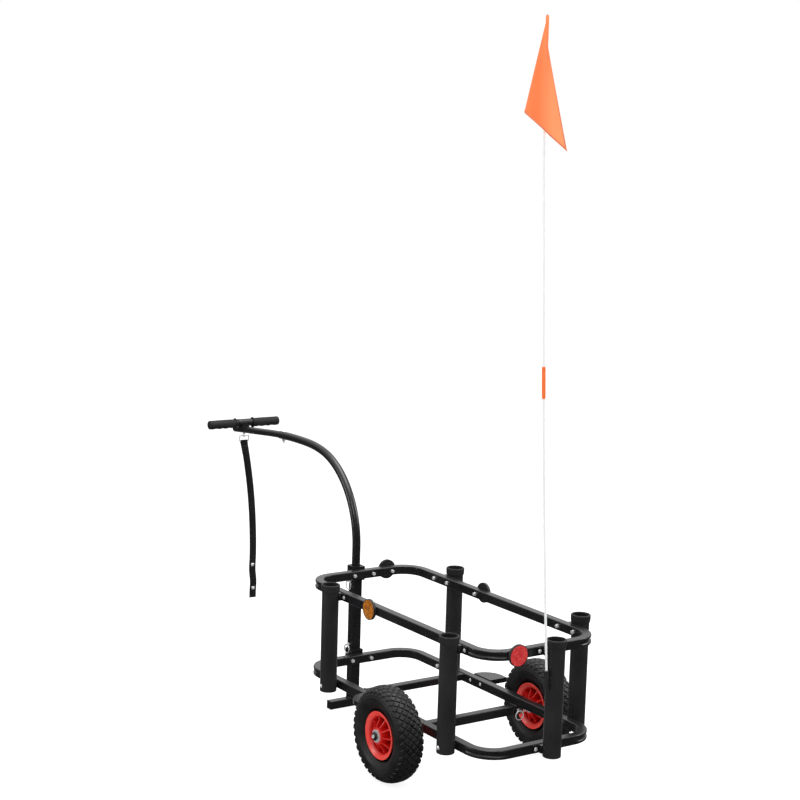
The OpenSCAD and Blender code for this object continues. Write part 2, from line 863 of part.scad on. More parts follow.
module handle_bolts() {
    color(ZINC) place() {
        at_joint_bolt() {
            rotate([0, -90, 0]) bolt(pole_r + 11, pole_r + 0.1, 5);
            rotate([0, -90, 0]) hex_nut(-pole_r - 0.1);
        }
        translate([tee_at[0], 0, tee_at[1]]) rotate([0, ext_slope, 0])
            rotate([0, -90, 0]) bolt(tee_rise + ext_r - 0.5, tee_r + 2.6, 5.5);
    }
}

module grips() {
    l = grips_w / 2 - grip_start;
    color(RUBBER) place() for (s = [-1, 1]) translate([tee_at[0], 0, tee_at[1]]) scale([1, s, 1])
        translate([0, grip_start, 0]) rotate([-90, 0, 0]) rotate_extrude()
            polygon([
                [tee_r + 0.05, 0], [17.5, 0], [18, 1], [18, 4], [15.2, 6], [grip_r, 20], [13.4, l / 2],
                [grip_r, l - 18], [15.6, l - 3], [14.6, l - 0.6], [12, l], [0, l], [0, l - 2.9],
                [tee_r + 0.05, l - 2.9]
            ]);
}

module strap_eye() {
    top = tee_at[1] - tee_rise - ext_r;
    color(ZINC) place() translate([eye_at[0], 0, eye_at[1]]) {
        rotate([90, 0, 0]) rotate_extrude() translate([eye_r, 0]) circle(wire_r, $fn = 24);
        translate([0, 0, eye_r]) cylinder(h = top - eye_at[1] - eye_r - 0.3, r = 3.2);
    }
}

module foot_bar() {
    color(STEEL) place() translate([mast_x, 0, foot_h / 2]) rotate([0, 0, 90])
        tube_x(-foot_l / 2, foot_l / 2, foot_h, foot_h, wall);
    color(PLASTIC) place() for (s = [-1, 1])
        translate([mast_x, s * (foot_l / 2 + 1.52), foot_h / 2])
            cube([foot_h - 0.6, 3, foot_h - 0.6], center = true);
}

// Lock pin through the mast, with its pull ring on the left
module mast_pin(z) {
    half = mast_w / 2;
    sleeve = half + bracket_gap + bracket_t;
    ring_y = sleeve + 6.6;
    color(ZINC) place() translate([mast_x, 0, z]) {
        difference() {
            union() {
                rotate([90, 0, 0]) translate([0, 0, -half - 4]) cylinder(h = half + 7 + ring_y, r = pin_r);
                translate([0, -sleeve - 0.4, 0]) rotate([90, 0, 0]) cylinder(h = 2.5, r = 5.5);
            }
            translate([-10, -ring_y, 0]) rotate([0, 90, 0]) cylinder(h = 20, r = wire_r + 0.2);
        }
        translate([0, -ring_y, 0]) rotate([0, 0, 90]) pull_ring();
    }
}

module mast_pin_upper() { mast_pin(upper_pin_z); }
module mast_pin_lower() { mast_pin(lower_pin_z); }

// Strap

// Rectangular wire ring that hangs in the eye and carries the webbing on its lower side
module strap_ring() {
    half = ring_w / 2 - wire_r;
    drop = ring_h - 2 * wire_r;
    color(ZINC) place() translate([eye_at[0], 0, ring_top - wire_r]) {
        for (s = [-1, 1]) {
            translate([0, s * half, -drop]) cylinder(h = drop, r = wire_r, $fn = 24);
            translate([0, s * half, 0]) sphere(wire_r, $fn = 24);
            translate([0, s * half, -drop]) sphere(wire_r, $fn = 24);
        }
        for (z = [0, -drop])
            translate([0, 0, z]) rotate([90, 0, 0])
                cylinder(h = 2 * half, r = wire_r, $fn = 24, center = true);
    }
}

// Sideways drift of the webbing at a share t of its length below the ring
function strap_y(t) = strap_drift * (1 - pow(1 - t, 2.2));

module strap_webbing() {
    down = [for (i = [0:strap_steps]) i / strap_steps];
    up = [for (i = [strap_steps:-1:0]) i / strap_steps];
    left = [for (t = down) [strap_y(t) - strap_w / 2, -t * strap_l]];
    right = [for (t = up) [strap_y(t) + strap_w / 2, -t * strap_l]];
    color(RUBBER) place() translate([eye_at[0] + strap_t / 2, 0, strap_top - 3.2])
        rotate([90, 0, -90]) scale([-1, 1, 1]) linear_extrude(strap_t) polygon(concat(left, right));
}

// Flag. The pole is drawn straight up and leaned as a whole.

module leaned() {
    translate(socket_at) rotate([flag_lean, 0, 0]) children();
}

// Cup for the pole, on a curved pad with two rivets on the rear end holder
module flag_socket() {
    pad_r = holder_r + 0.1;
    turn = atan2(socket_at[1] - END_HOLDER[1], socket_at[0] - END_HOLDER[0]);
    color(PLASTIC) place() difference() {
        union() {
            leaned() cylinder(h = socket_h, r = socket_r);
            translate([END_HOLDER[0], END_HOLDER[1], clip_z]) {
                rotate([0, 0, turn - clip_turn]) rotate_extrude(angle = 2 * clip_turn)
                    translate([pad_r, 0]) square([clip_t, clip_h]);
                for (s = [-1, 1])
                    rotate([0, 0, turn + s * rivet_turn]) translate([pad_r + 1, 0, clip_h / 2])
                        rotate([0, 90, 0]) cylinder(h = clip_t + 0.2, r = 2.6);
            }
        }
        leaned() translate([0, 0, 3]) cylinder(h = socket_h, r = rod_r + 0.3);
    }
}

module flag_pole_lower() {
    color(WHITE) place() leaned() translate([0, 0, rod_start]) cylinder(h = split_at - rod_start, r = rod_r);
    color(ORANGE) place() leaned() difference() {
        translate([0, 0, split_at - ferrule_l / 2]) cylinder(h = ferrule_l, r = rod_r + 1.3);
        translate([0, 0, split_at - ferrule_l / 2 - 1]) cylinder(h = ferrule_l / 2 + 1, r = rod_r);
        translate([0, 0, split_at]) cylinder(h = ferrule_l, r = rod_r + 0.05);
    }
}

module flag_pole_upper() {
    color(WHITE) place() leaned() translate([0, 0, split_at + 0.3])
        cylinder(h = rod_len - split_at - 0.3, r = rod_r);
}

// The pennant hangs limp: one fold to the left, its tip in front and to the right
module flag_cloth() {
    color(ORANGE) place() leaned() translate([0, 0, rod_len]) rotate([0, 0, flag_turn]) difference() {
        rotate([90, 0, 0]) translate([0, 0, -flag_back]) linear_extrude(flag_thick)
            polygon([
                [-4, -1], [5, -1], [6, -60], [flag_w_right, -flag_hoist - 40],
                [flag_w_right - 5, -flag_hoist - 43], [0, -flag_hoist + 5],
                [-flag_w_left + 10, -flag_hoist + 45], [-flag_w_left + 4, -flag_hoist + 60]
            ]);
        translate([0, 0, -flag_hoist - 60]) cylinder(h = flag_hoist + 80, r = rod_r + 0.02);
    }
}

upper_ring();
lower_ring();
front_crossbar();
axle_beam();
rod_holder_front_left();
rod_holder_front_right();
rod_holder_rear_left();
rod_holder_rear_right();
rod_holder_rear_end();
holder_collars();
holder_saddles();
saddle_bolts();
saddle_nuts();
holder_through_bolts();
mast_bracket_upper();
mast_bracket_lower();
bracket_bolts();
side_plate_left();
side_plate_right();
side_plate_bolts();
reflector_housings();
reflector_bolts();
lens_left();
lens_right();
lens_rear();
lens_front();
stub_axle_left();
stub_axle_right();
axle_washers();
axle_nuts();
axle_pin_left();
axle_pin_right();
tyre_left();
inner_tube_left();
rim_left();
bearings_left();
tyre_right();
inner_tube_right();
rim_right();
bearings_right();
mast_tube();
mast_collar();
handle_pole();
handle_extension();
extension_cap();
handle_bolts();
tee_bar();
tee_clamp();
grips();
strap_eye();
foot_bar();
mast_pin_upper();
mast_pin_lower();
strap_ring();
strap_webbing();
flag_socket();
flag_pole_lower();
flag_pole_upper();
flag_cloth();
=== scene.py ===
"""Looks of the beach cart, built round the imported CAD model. Metres, +Z up, the handle at -X."""

import json
import math

import bmesh
import bpy
import numpy as np
from mathutils import Matrix, Vector


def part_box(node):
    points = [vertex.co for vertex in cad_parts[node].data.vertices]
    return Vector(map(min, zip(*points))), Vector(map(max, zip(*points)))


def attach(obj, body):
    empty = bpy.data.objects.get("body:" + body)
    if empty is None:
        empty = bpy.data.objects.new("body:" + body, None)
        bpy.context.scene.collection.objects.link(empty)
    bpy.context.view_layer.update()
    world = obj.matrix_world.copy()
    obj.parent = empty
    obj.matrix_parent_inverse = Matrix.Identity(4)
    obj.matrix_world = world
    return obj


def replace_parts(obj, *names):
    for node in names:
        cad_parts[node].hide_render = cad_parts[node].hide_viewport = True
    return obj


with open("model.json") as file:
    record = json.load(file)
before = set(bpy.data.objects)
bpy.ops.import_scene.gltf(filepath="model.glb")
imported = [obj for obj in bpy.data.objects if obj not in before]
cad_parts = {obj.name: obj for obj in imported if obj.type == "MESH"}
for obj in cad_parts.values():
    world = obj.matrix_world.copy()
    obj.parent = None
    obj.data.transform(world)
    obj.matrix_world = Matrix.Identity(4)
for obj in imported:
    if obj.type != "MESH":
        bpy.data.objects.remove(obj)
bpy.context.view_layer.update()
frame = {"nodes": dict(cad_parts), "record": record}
nodes = frame["nodes"]
MM = 0.001


def circle(count):
    """Evenly spaced angles of a whole turn, in radians."""
    return [2 * math.pi * k / count for k in range(count)]


def new_object(name, data):
    thing = bpy.data.objects.new(name, data)
    bpy.context.scene.collection.objects.link(thing)
    return thing


def centre_of(node):
    low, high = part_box(node)
    return (low + high) / 2


# -------- camera and light

AXLE = centre_of("axle_beam")
# The camera's place in metres, its angles in degrees and its lens in mm
CAMERA_FROM_AXLE = (3.6225, -2.6869)
CAMERA_HEIGHT = 1.662
CAMERA_AZIMUTH = 56.05
CAMERA_ELEVATION = 8.26
CAMERA_ROLL = 1.69
CAMERA_LENS = 76.69


def make_camera():
    azimuth, elevation, roll = map(math.radians, (CAMERA_AZIMUTH, CAMERA_ELEVATION, CAMERA_ROLL))
    back = Vector((math.sin(azimuth) * math.cos(elevation), -math.cos(azimuth) * math.cos(elevation),
                   math.sin(elevation)))
    level = Vector((math.cos(azimuth), math.sin(azimuth), 0))
    upright = back.cross(level)
    right = level * math.cos(roll) + upright * math.sin(roll)
    up = upright * math.cos(roll) - level * math.sin(roll)
    data = bpy.data.cameras.new("camera")
    data.lens = CAMERA_LENS
    data.sensor_width = 36
    data.clip_start = 0.1
    data.clip_end = 100
    camera = new_object("camera", data)
    place = (AXLE.x + CAMERA_FROM_AXLE[0], CAMERA_FROM_AXLE[1], CAMERA_HEIGHT)
    camera.matrix_world = Matrix.Translation(place) @ Matrix((right, up, back)).transposed().to_4x4()
    bpy.context.scene.camera = camera


def area_light(name, place, target, size, power):
    data = bpy.data.lights.new(name, "AREA")
    data.shape = "RECTANGLE"
    data.size, data.size_y = size
    data.energy = power
    light = new_object(name, data)
    light.location = (AXLE.x + place[0], place[1], place[2])
    aim = Vector((AXLE.x + target[0], target[1], target[2]))
    light.rotation_euler = (aim - light.location).to_track_quat("-Z", "Y").to_euler()


# Away from the camera, and the tone of the sky at shares of the way from the horizon to the top
FAR = (-0.82, 0.55, 0.13)
SKY = ((0.0, 0.025), (0.12, 0.08), (0.45, 0.38), (1.0, 1.6))


def make_sky(tree):
    """Dark below and at the camera's side, a bright wall behind the cart and a bright ceiling."""
    add, link = tree.nodes.new, tree.links.new
    coordinates, split, dot = (add("ShaderNodeTexCoord"), add("ShaderNodeSeparateXYZ"),
                               add("ShaderNodeVectorMath"))
    ramp, glow, total = add("ShaderNodeValToRGB"), add("ShaderNodeMapRange"), add("ShaderNodeMix")
    dot.operation = "DOT_PRODUCT"
    dot.inputs[1].default_value = FAR
    while len(ramp.color_ramp.elements) < len(SKY):
        ramp.color_ramp.elements.new(0.5)
    for element, (height, tone) in zip(ramp.color_ramp.elements, SKY):
        element.position = height
        element.color = (tone, tone, tone * 1.02, 1)
    glow.inputs["From Min"].default_value = 0.55
    glow.inputs["From Max"].default_value = 1.0
    glow.inputs["To Max"].default_value = 0.75
    total.data_type = "RGBA"
    total.blend_type = "ADD"
    total.inputs["B"].default_value = (1, 1, 1, 1)
    link(coordinates.outputs["Generated"], split.inputs[0])
    link(coordinates.outputs["Generated"], dot.inputs[0])
    link(split.outputs["Z"], ramp.inputs[0])
    link(dot.outputs["Value"], glow.inputs["Value"])
    link(ramp.outputs["Color"], total.inputs["A"])
    link(glow.outputs["Result"], total.inputs["Factor"])
    return total.outputs["Result"]


# Softboxes: place and target in metres, with X from the axle, then width and height, and watts
SOFTBOXES = (
    ("softbox_top", (-0.2, 0.3, 3.2), (-0.3, 0, 0), (2.6, 1.6), 62),
    ("softbox_right", (1.0, 2.9, 1.9), (-0.2, 0, 0.4), (1.6, 1.6), 40),
    ("softbox_left", (-1.6, -3.2, 1.2), (-0.3, 0, 0.4), (0.5, 2.0), 26),
    ("softbox_front", (2.6, -2.4, 2.9), (0, 0, 0.5), (1.4, 1.0), 26),
)


def make_studio():
    scene = bpy.context.scene
    scene.view_settings.view_transform = "Standard"
    world = bpy.data.worlds.new("studio")
    scene.world = world
    world.use_nodes = True
    tree = world.node_tree
    tree.nodes.clear()
    add, link = tree.nodes.new, tree.links.new
    output, background = add("ShaderNodeOutputWorld"), add("ShaderNodeBackground")
    mix, path = add("ShaderNodeMix"), add("ShaderNodeLightPath")
    mix.data_type = "RGBA"
    mix.inputs["B"].default_value = (1.0, 1.0, 1.0, 1)
    link(make_sky(tree), mix.inputs["A"])
    link(path.outputs["Is Camera Ray"], mix.inputs["Factor"])
    link(mix.outputs["Result"], background.inputs["Color"])
    link(background.outputs[0], output.inputs["Surface"])
    for softbox in SOFTBOXES:
        area_light(*softbox)


def make_floor():
    grid = bmesh.new()
    bmesh.ops.create_grid(grid, x_segments=8, y_segments=8, size=30)
    mesh = bpy.data.meshes.new("floor")
    grid.to_mesh(mesh)
    grid.free()
    floor = new_object("floor", mesh)
    floor.location.z = -0.0005
    floor.visible_glossy = False
    paint = Paint("floor_paper", (0.32, 0.32, 0.32), 0.9, specular=0.0)
    paint.put("Emission Color", (1, 1, 1, 1))
    paint.put("Emission Strength", 0.86)
    paint.bump(paint.noise(60, 3), 0.05, 0.0005)
    mesh.materials.append(paint.material)


# -------- materials


class Paint:
    """One procedural material: a Principled shader with noise, waves and bump in object space."""

    def __init__(self, name, colour, roughness, metallic=0.0, specular=0.5):
        self.material = bpy.data.materials.new(name)
        self.material.use_nodes = True
        self.tree = self.material.node_tree
        self.tree.nodes.clear()
        self.bsdf = self.add("BsdfPrincipled")
        output = self.add("OutputMaterial")
        self.link(self.bsdf.outputs[0], output.inputs["Surface"])
        self.put("Base Color", (*colour, 1))
        self.put("Roughness", roughness)
        self.put("Metallic", metallic)
        self.put("Specular IOR Level", specular)
        self.coordinates = self.add("TexCoord").outputs["Object"]
        self.normal = None

    def add(self, kind):
        return self.tree.nodes.new("ShaderNode" + kind)

    def put(self, socket, value):
        self.bsdf.inputs[socket].default_value = value

    def link(self, a, b):
        self.tree.links.new(a, b)

    def stretched(self, scale, turn=(0, 0, 0)):
        mapping = self.add("Mapping")
        mapping.inputs["Scale"].default_value = scale
        mapping.inputs["Rotation"].default_value = turn
        self.link(self.coordinates, mapping.inputs["Vector"])
        return mapping.outputs["Vector"]

    def noise(self, scale, detail=2.0, stretch=(1, 1, 1)):
        node = self.add("TexNoise")
        node.inputs["Scale"].default_value = scale
        node.inputs["Detail"].default_value = detail
        self.link(self.stretched(stretch), node.inputs["Vector"])
        return node.outputs["Fac"]

    def wave(self, scale, turn=(0, 0, 0), stretch=(1, 1, 1)):
        node = self.add("TexWave")
        node.inputs["Scale"].default_value = scale
        self.link(self.stretched(stretch, turn), node.inputs["Vector"])
        return node.outputs["Fac"]

    def measured(self, operation, origin, direction):
        """How far a point is from origin along direction (DOT_PRODUCT), or across it (LENGTH), where
        direction is one of the axes."""
        moved, measure = self.add("VectorMath"), self.add("VectorMath")
        moved.operation = "SUBTRACT"
        moved.inputs[1].default_value = origin
        self.link(self.coordinates, moved.inputs[0])
        measure.operation = operation
        if operation == "LENGTH":
            flat = self.add("VectorMath")
            flat.operation = "MULTIPLY"
            flat.inputs[1].default_value = [1 - abs(k) for k in direction]
            self.link(moved.outputs[0], flat.inputs[0])
            moved = flat
        else:
            measure.inputs[1].default_value = direction
        self.link(moved.outputs[0], measure.inputs[0])
        return measure.outputs["Value"]

    def cells(self, scale, feature="F1"):
        node = self.add("TexVoronoi")
        node.feature = feature
        node.inputs["Scale"].default_value = scale
        self.link(self.coordinates, node.inputs["Vector"])
        return node.outputs["Distance"]

    def ranged(self, value, low, high, start=0.3, end=0.7):
        node = self.add("MapRange")
        for key, number in (("From Min", start), ("From Max", end), ("To Min", low), ("To Max", high)):
            node.inputs[key].default_value = number
        self.link(value, node.inputs["Value"])
        return node.outputs["Result"]

    def mixed(self, value, colour_a, colour_b):
        node = self.add("Mix")
        node.data_type = "RGBA"
        node.inputs["A"].default_value = (*colour_a, 1)
        node.inputs["B"].default_value = (*colour_b, 1)
        self.link(value, node.inputs["Factor"])
        return node.outputs["Result"]

    def multiply(self, a, b):
        node = self.add("Math")
        node.operation = "MULTIPLY"
        self.link(a, node.inputs[0])
        self.link(b, node.inputs[1])
        return node.outputs[0]

    def colour(self, value, colour_a, colour_b):
        self.link(self.mixed(value, colour_a, colour_b), self.bsdf.inputs["Base Color"])

    def mottle(self, scale, detail, colour_a, colour_b):
        self.colour(self.ranged(self.noise(scale, detail), 0, 1), colour_a, colour_b)

    def roughness(self, value):
        self.link(value, self.bsdf.inputs["Roughness"])

    def bump(self, height, strength, distance):
        node = self.add("Bump")
        node.inputs["Strength"].default_value = strength
        node.inputs["Distance"].default_value = distance
        self.link(height, node.inputs["Height"])
        if self.normal is not None:
            self.link(self.normal, node.inputs["Normal"])
        self.normal = node.outputs["Normal"]
        self.link(self.normal, self.bsdf.inputs["Normal"])


def powder_coat():
    paint = Paint("frame_paint", (0.010, 0.010, 0.011), 0.28, specular=0.50)
    dust = paint.noise(9, 4)
    paint.colour(paint.ranged(dust, 0, 1), (0.007, 0.007, 0.008), (0.012, 0.012, 0.0125))
    paint.roughness(paint.ranged(dust, 0.22, 0.32))
    paint.bump(paint.noise(520, 3), 0.14, 0.0005)
    paint.bump(paint.noise(38, 1), 0.04, 0.002)
    return paint


def holder_tube():
    paint = Paint("holder_plastic", (0.015, 0.015, 0.016), 0.38, specular=0.42)
    streaks = paint.noise(1, 3, (420, 420, 6))
    paint.mottle(14, 3, (0.013, 0.013, 0.014), (0.019, 0.019, 0.020))
    paint.roughness(paint.ranged(streaks, 0.33, 0.44))
    paint.bump(streaks, 0.12, 0.0005)
    paint.bump(paint.noise(900, 2), 0.10, 0.0004)
    return paint


def soft_rubber(name, tone, roughness):
    paint = Paint(name, (tone,) * 3, roughness, specular=0.25)
    worn = paint.noise(30, 4)
    paint.colour(paint.ranged(worn, 0, 1), (tone * 0.85,) * 3, (tone * 1.3,) * 3)
    paint.roughness(paint.ranged(worn, roughness - 0.05, roughness + 0.07))
    paint.bump(paint.noise(1100, 2), 0.18, 0.0005)
    return paint


def tyre_rubber():
    paint = Paint("tyre_rubber", (0.010, 0.010, 0.010), 0.5, specular=0.36)
    dust = paint.noise(26, 5)
    paint.colour(paint.ranged(dust, 0, 1), (0.006, 0.006, 0.0065), (0.014, 0.0135, 0.013))
    paint.roughness(paint.ranged(dust, 0.38, 0.56))
    paint.bump(paint.noise(750, 3), 0.25, 0.0006)
    paint.bump(paint.noise(70, 2), 0.12, 0.0015)
    return paint


def red_plastic():
    paint = Paint("rim_plastic", (0.66, 0.018, 0.012), 0.34, specular=0.5)
    tone = paint.noise(22, 3)
    # Painted shade: inside the lip, towards the axle, the red is mixed to the darker dish tone. This stands
    # in for the shade deep in the wheel's dish.
    painted_shade_mask = paint.ranged(paint.measured("LENGTH", centre_of("rim_left"), (0, 1, 0)), 0, 1, 0.050, 0.0555)
    dish = paint.mixed(paint.ranged(tone, 0, 1), (0.50, 0.004, 0.002), (0.58, 0.006, 0.003))
    lip = paint.mixed(paint.ranged(tone, 0, 1), (0.70, 0.040, 0.028), (0.76, 0.047, 0.033))
    shade = paint.add("Mix")
    shade.data_type = "RGBA"
    paint.link(painted_shade_mask, shade.inputs["Factor"])
    paint.link(dish, shade.inputs["A"])
    paint.link(lip, shade.inputs["B"])
    paint.link(shade.outputs["Result"], paint.bsdf.inputs["Base Color"])
    paint.roughness(paint.ranged(tone, 0.30, 0.42))
    paint.bump(paint.noise(600, 2), 0.10, 0.0004)
    paint.put("Coat Weight", 0.15)
    paint.put("Coat Roughness", 0.25)
    return paint


def zinc():
    paint = Paint("zinc_steel", (0.84, 0.84, 0.85), 0.28, metallic=0.6)
    streaks = paint.noise(160, 4, (1, 1, 4))
    paint.mottle(90, 3, (0.76, 0.76, 0.78), (0.90, 0.90, 0.90))
    paint.roughness(paint.ranged(streaks, 0.20, 0.38))
    paint.bump(streaks, 0.08, 0.0003)
    return paint


def moulded_black():
    paint = Paint("black_plastic", (0.015, 0.015, 0.015), 0.5, specular=0.4)
    grain = paint.cells(1500)
    paint.mottle(40, 2, (0.012, 0.012, 0.012), (0.019, 0.019, 0.019))
    paint.roughness(paint.ranged(paint.noise(60, 2), 0.44, 0.56))
    paint.bump(grain, 0.15, 0.0003)
    return paint


def lens_plastic(name, light, dark):
    paint = Paint(name, light, 0.16)
    # Painted shade and glints: the colour darkens at the edges of the prism cells and brightens in cloudy
    # patches. This stands in for light turned back by the prisms.
    prisms = paint.ranged(paint.cells(240, "DISTANCE_TO_EDGE"), 0, 1, 0.0, 0.30)
    painted_glints = paint.ranged(paint.noise(85, 2), 0.1, 1.25, 0.38, 0.62)
    paint.colour(paint.multiply(prisms, painted_glints), dark, light)
    paint.roughness(paint.ranged(paint.noise(200, 2), 0.12, 0.24))
    paint.bump(paint.cells(330), 0.30, 0.0008)
    paint.put("Coat Weight", 0.6)
    paint.put("Coat Roughness", 0.06)
    return paint


def web_weave():
    paint = Paint("webbing", (0.006, 0.006, 0.0065), 0.78, specular=0.2)
    ribs = paint.wave(210, (0, math.radians(58), 0))
    counter = paint.wave(210, (0, math.radians(-58), 0))
    weave = paint.multiply(ribs, counter)
    paint.colour(paint.ranged(weave, 0, 1, 0.0, 0.6), (0.003, 0.003, 0.0033), (0.009, 0.009, 0.0095))
    paint.bump(weave, 0.55, 0.0006)
    paint.bump(paint.noise(900, 2), 0.2, 0.0003)
    paint.put("Sheen Weight", 0.05)
    paint.put("Sheen Roughness", 0.4)
    return paint


def pole_gloss():
    paint = Paint("pole_white", (0.78, 0.79, 0.79), 0.40)
    fibres = paint.noise(1, 3, (900, 900, 4))
    paint.colour(paint.ranged(fibres, 0, 1), (0.74, 0.75, 0.75), (0.84, 0.85, 0.85))
    paint.roughness(paint.ranged(fibres, 0.30, 0.44))
    paint.bump(fibres, 0.06, 0.0003)
    return paint


def flag_weave():
    """Thin orange cloth with painted light and shade: darker to the left of the pole, where the fold turns
    it away from the light, lighter to the right as painted light coming through, and a faint painted glow.
    """
    paint = Paint("flag_fabric", (0.94, 0.20, 0.06), 0.75, specular=0.2)
    weave = paint.multiply(paint.wave(620), paint.wave(620, (0, math.radians(90), 0)))
    pole = centre_of("flag_pole_upper")
    # Painted shade and light: the colour runs from a darker orange left of the pole to a lighter one on its
    # right.
    painted_light_side = paint.ranged(paint.measured("DOT_PRODUCT", pole, FLAG_SIDE), 0, 1, -0.034, 0.002)
    tone = paint.mixed(painted_light_side, (0.93, 0.165, 0.052), (0.92, 0.265, 0.105))
    paint.link(tone, paint.bsdf.inputs["Base Color"])
    # Painted light: the cloth's colour is also its emission, so it glows a little though it is no lamp.
    paint.link(tone, paint.bsdf.inputs["Emission Color"])
    paint.put("Emission Strength", 0.25)
    paint.put("Sheen Weight", 0.2)
    paint.put("Sheen Roughness", 0.5)
    paint.bump(weave, 0.25, 0.0002)
    paint.bump(paint.noise(30, 3), 0.25, 0.004)
    return paint


def hem_cloth():
    """The folded and stitched edge of the flag, deeper in colour since it's three layers thick."""
    paint = Paint("hem", (0.72, 0.19, 0.09), 0.75, specular=0.2)
    paint.mottle(260, 3, (0.62, 0.17, 0.08), (0.78, 0.24, 0.12))
    paint.bump(paint.wave(700), 0.3, 0.0002)
    return paint


def ferrule_plastic():
    paint = Paint("ferrule", (0.85, 0.16, 0.02), 0.35)
    paint.mottle(60, 2, (0.78, 0.13, 0.015), (0.90, 0.18, 0.03))
    paint.bump(paint.noise(500, 2), 0.08, 0.0003)
    return paint


def thread():
    paint = Paint("thread", (0.03, 0.03, 0.03), 0.6)
    paint.mottle(300, 2, (0.022, 0.022, 0.023), (0.05, 0.05, 0.052))
    paint.bump(paint.wave(900, (0, math.radians(45), 0)), 0.3, 0.0002)
    return paint


def snap_metal():
    paint = Paint("snap_metal", (0.80, 0.80, 0.81), 0.30, metallic=0.6)
    paint.mottle(400, 2, (0.74, 0.74, 0.75), (0.88, 0.88, 0.88))
    paint.roughness(paint.ranged(paint.noise(250, 2), 0.24, 0.38))
    return paint


def make_materials():
    return {
        "frame_paint": powder_coat(),
        "holder_plastic": holder_tube(),
        "collar_rubber": soft_rubber("collar_rubber", 0.015, 0.58),
        "grip_rubber": soft_rubber("grip_rubber", 0.011, 0.60),
        "tyre_rubber": tyre_rubber(),
        "rim_plastic": red_plastic(),
        "zinc_steel": zinc(),
        "black_plastic": moulded_black(),
        "amber_lens": lens_plastic("amber_lens", (0.60, 0.215, 0.02), (0.26, 0.075, 0.005)),
        "red_lens": lens_plastic("red_lens", (0.80, 0.075, 0.070), (0.46, 0.022, 0.026)),
        "clear_lens": lens_plastic("clear_lens", (0.80, 0.81, 0.82), (0.42, 0.43, 0.45)),
        "webbing": web_weave(),
        "pole_white": pole_gloss(),
        "flag_fabric": flag_weave(),
        "ferrule": ferrule_plastic(),
        "hem": hem_cloth(),
        "thread": thread(),
        "snap_metal": snap_metal(),
    }


# -------- mesh tools


def add_object(name, mesh, slot, body, paint=None):
    thing = new_object(name, mesh)
    if not mesh.materials:
        mesh.materials.append(PAINTS[paint or slot].material)
    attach(thing, body)
    return thing


def mesh_of(name, points, faces, smooth=True):
    mesh = bpy.data.meshes.new(name)
    mesh.from_pydata([tuple(p) for p in points], [], faces)
    mesh.validate()
    if smooth:
        mesh.shade_smooth()
    tidy = bmesh.new()
    tidy.from_mesh(mesh)
    bmesh.ops.recalc_face_normals(tidy, faces=tidy.faces)
    tidy.to_mesh(mesh)
    tidy.free()
    return mesh


def lattice_faces(rows, columns, start=0, wrap_rows=False, wrap_columns=True):
    """Quads of a grid of points, given row by row."""
    faces = []
    for i in range(rows if wrap_rows else rows - 1):
        for j in range(columns if wrap_columns else columns - 1):
            a, b = start + i * columns, start + (i + 1) % rows * columns
            k = (j + 1) % columns
            faces.append((a + j, b + j, b + k, a + k))
    return faces


def turned_points(profile, centre, steps):
    """A profile of (radius, distance along Y), turned round the axis along Y through centre."""
    points = []
    for a in circle(steps):
        sine, cosine = math.sin(a), math.cos(a)
        points += [(centre.x + r * sine, centre.y + y, centre.z + r * cosine) for r, y in profile]
    return points


def turned_mesh(name, profile, centre, steps):
    faces = lattice_faces(steps, len(profile), wrap_rows=True)
    return mesh_of(name, turned_points(profile, centre, steps), faces)


def joined_mesh(name, parts):
    """One mesh from several lists of (points, faces)."""
    points, faces = [], []
    for part_points, part_faces in parts:
        shift = len(points)
        points += [tuple(p) for p in part_points]
        faces += [tuple(v + shift for v in face) for face in part_faces]
    return mesh_of(name, points, faces)


def rounded(profile, radius, steps=4):
    """The closed profile with each corner replaced by a small arc, at most radius along each side."""
    out = []
    n = len(profile)
    for i in range(n):
        before, here, after = (Vector(profile[(i + k) % n]) for k in (-1, 0, 1))
        a, b = before - here, after - here
        cut = min(radius, a.length * 0.45, b.length * 0.45)
        start, end = here + a.normalized() * cut, here + b.normalized() * cut
        for k in range(steps + 1):
            t = k / steps
            out.append(tuple(start * (1 - t) ** 2 + here * 2 * t * (1 - t) + end * t * t))
    return out


def swept(path, side, section):
    """Points and faces of a closed section swept along path. section gives (across, off) points at a
    share of the path; side is the direction that across runs in."""
    points = []
    count = len(path)
    for i, p in enumerate(path):
        ahead = (path[min(i + 1, count - 1)] - path[max(i - 1, 0)]).normalized()
        across = (side - ahead * side.dot(ahead)).normalized()
        off = ahead.cross(across)
        ring = section(i / (count - 1))
        points += [p + across * a + off * b for a, b in ring]
    columns = len(ring)
    faces = lattice_faces(count, columns)
    faces += [tuple(range(columns))[::-1], tuple((count - 1) * columns + j for j in range(columns))]
    return points, faces


def round_section(radius, count):
    return [(radius * math.cos(q), radius * math.sin(q)) for q in circle(count)]


def disc_dome(centre, axis, radius, height, steps=24, rings=5):
    """Points and faces of a low dome with a flat back, standing on centre and pointing along axis."""
    axis = axis.normalized()
    u = axis.orthogonal().normalized()
    v = axis.cross(u)
    points = []
    for k in range(rings):
        a = math.pi / 2 * k / rings
        for b in circle(steps):
            points.append(centre + (u * math.cos(b) + v * math.sin(b)) * radius * math.cos(a)
                          + axis * height * math.sin(a))
    points.append(centre + axis * height)
    faces = lattice_faces(rings, steps)
    last = (rings - 1) * steps
    faces += [(last + j, last + (j + 1) % steps, rings * steps) for j in range(steps)]
    faces.append(tuple(range(steps))[::-1])
    return points, faces


# -------- wheels

TREAD_COUNT = 38
TREAD_DEPTH = 3.4 * MM
TREAD_ROWS = 1.6
COLUMNS_PER_BLOCK = 22
CASING_MIDDLE = 96 * MM
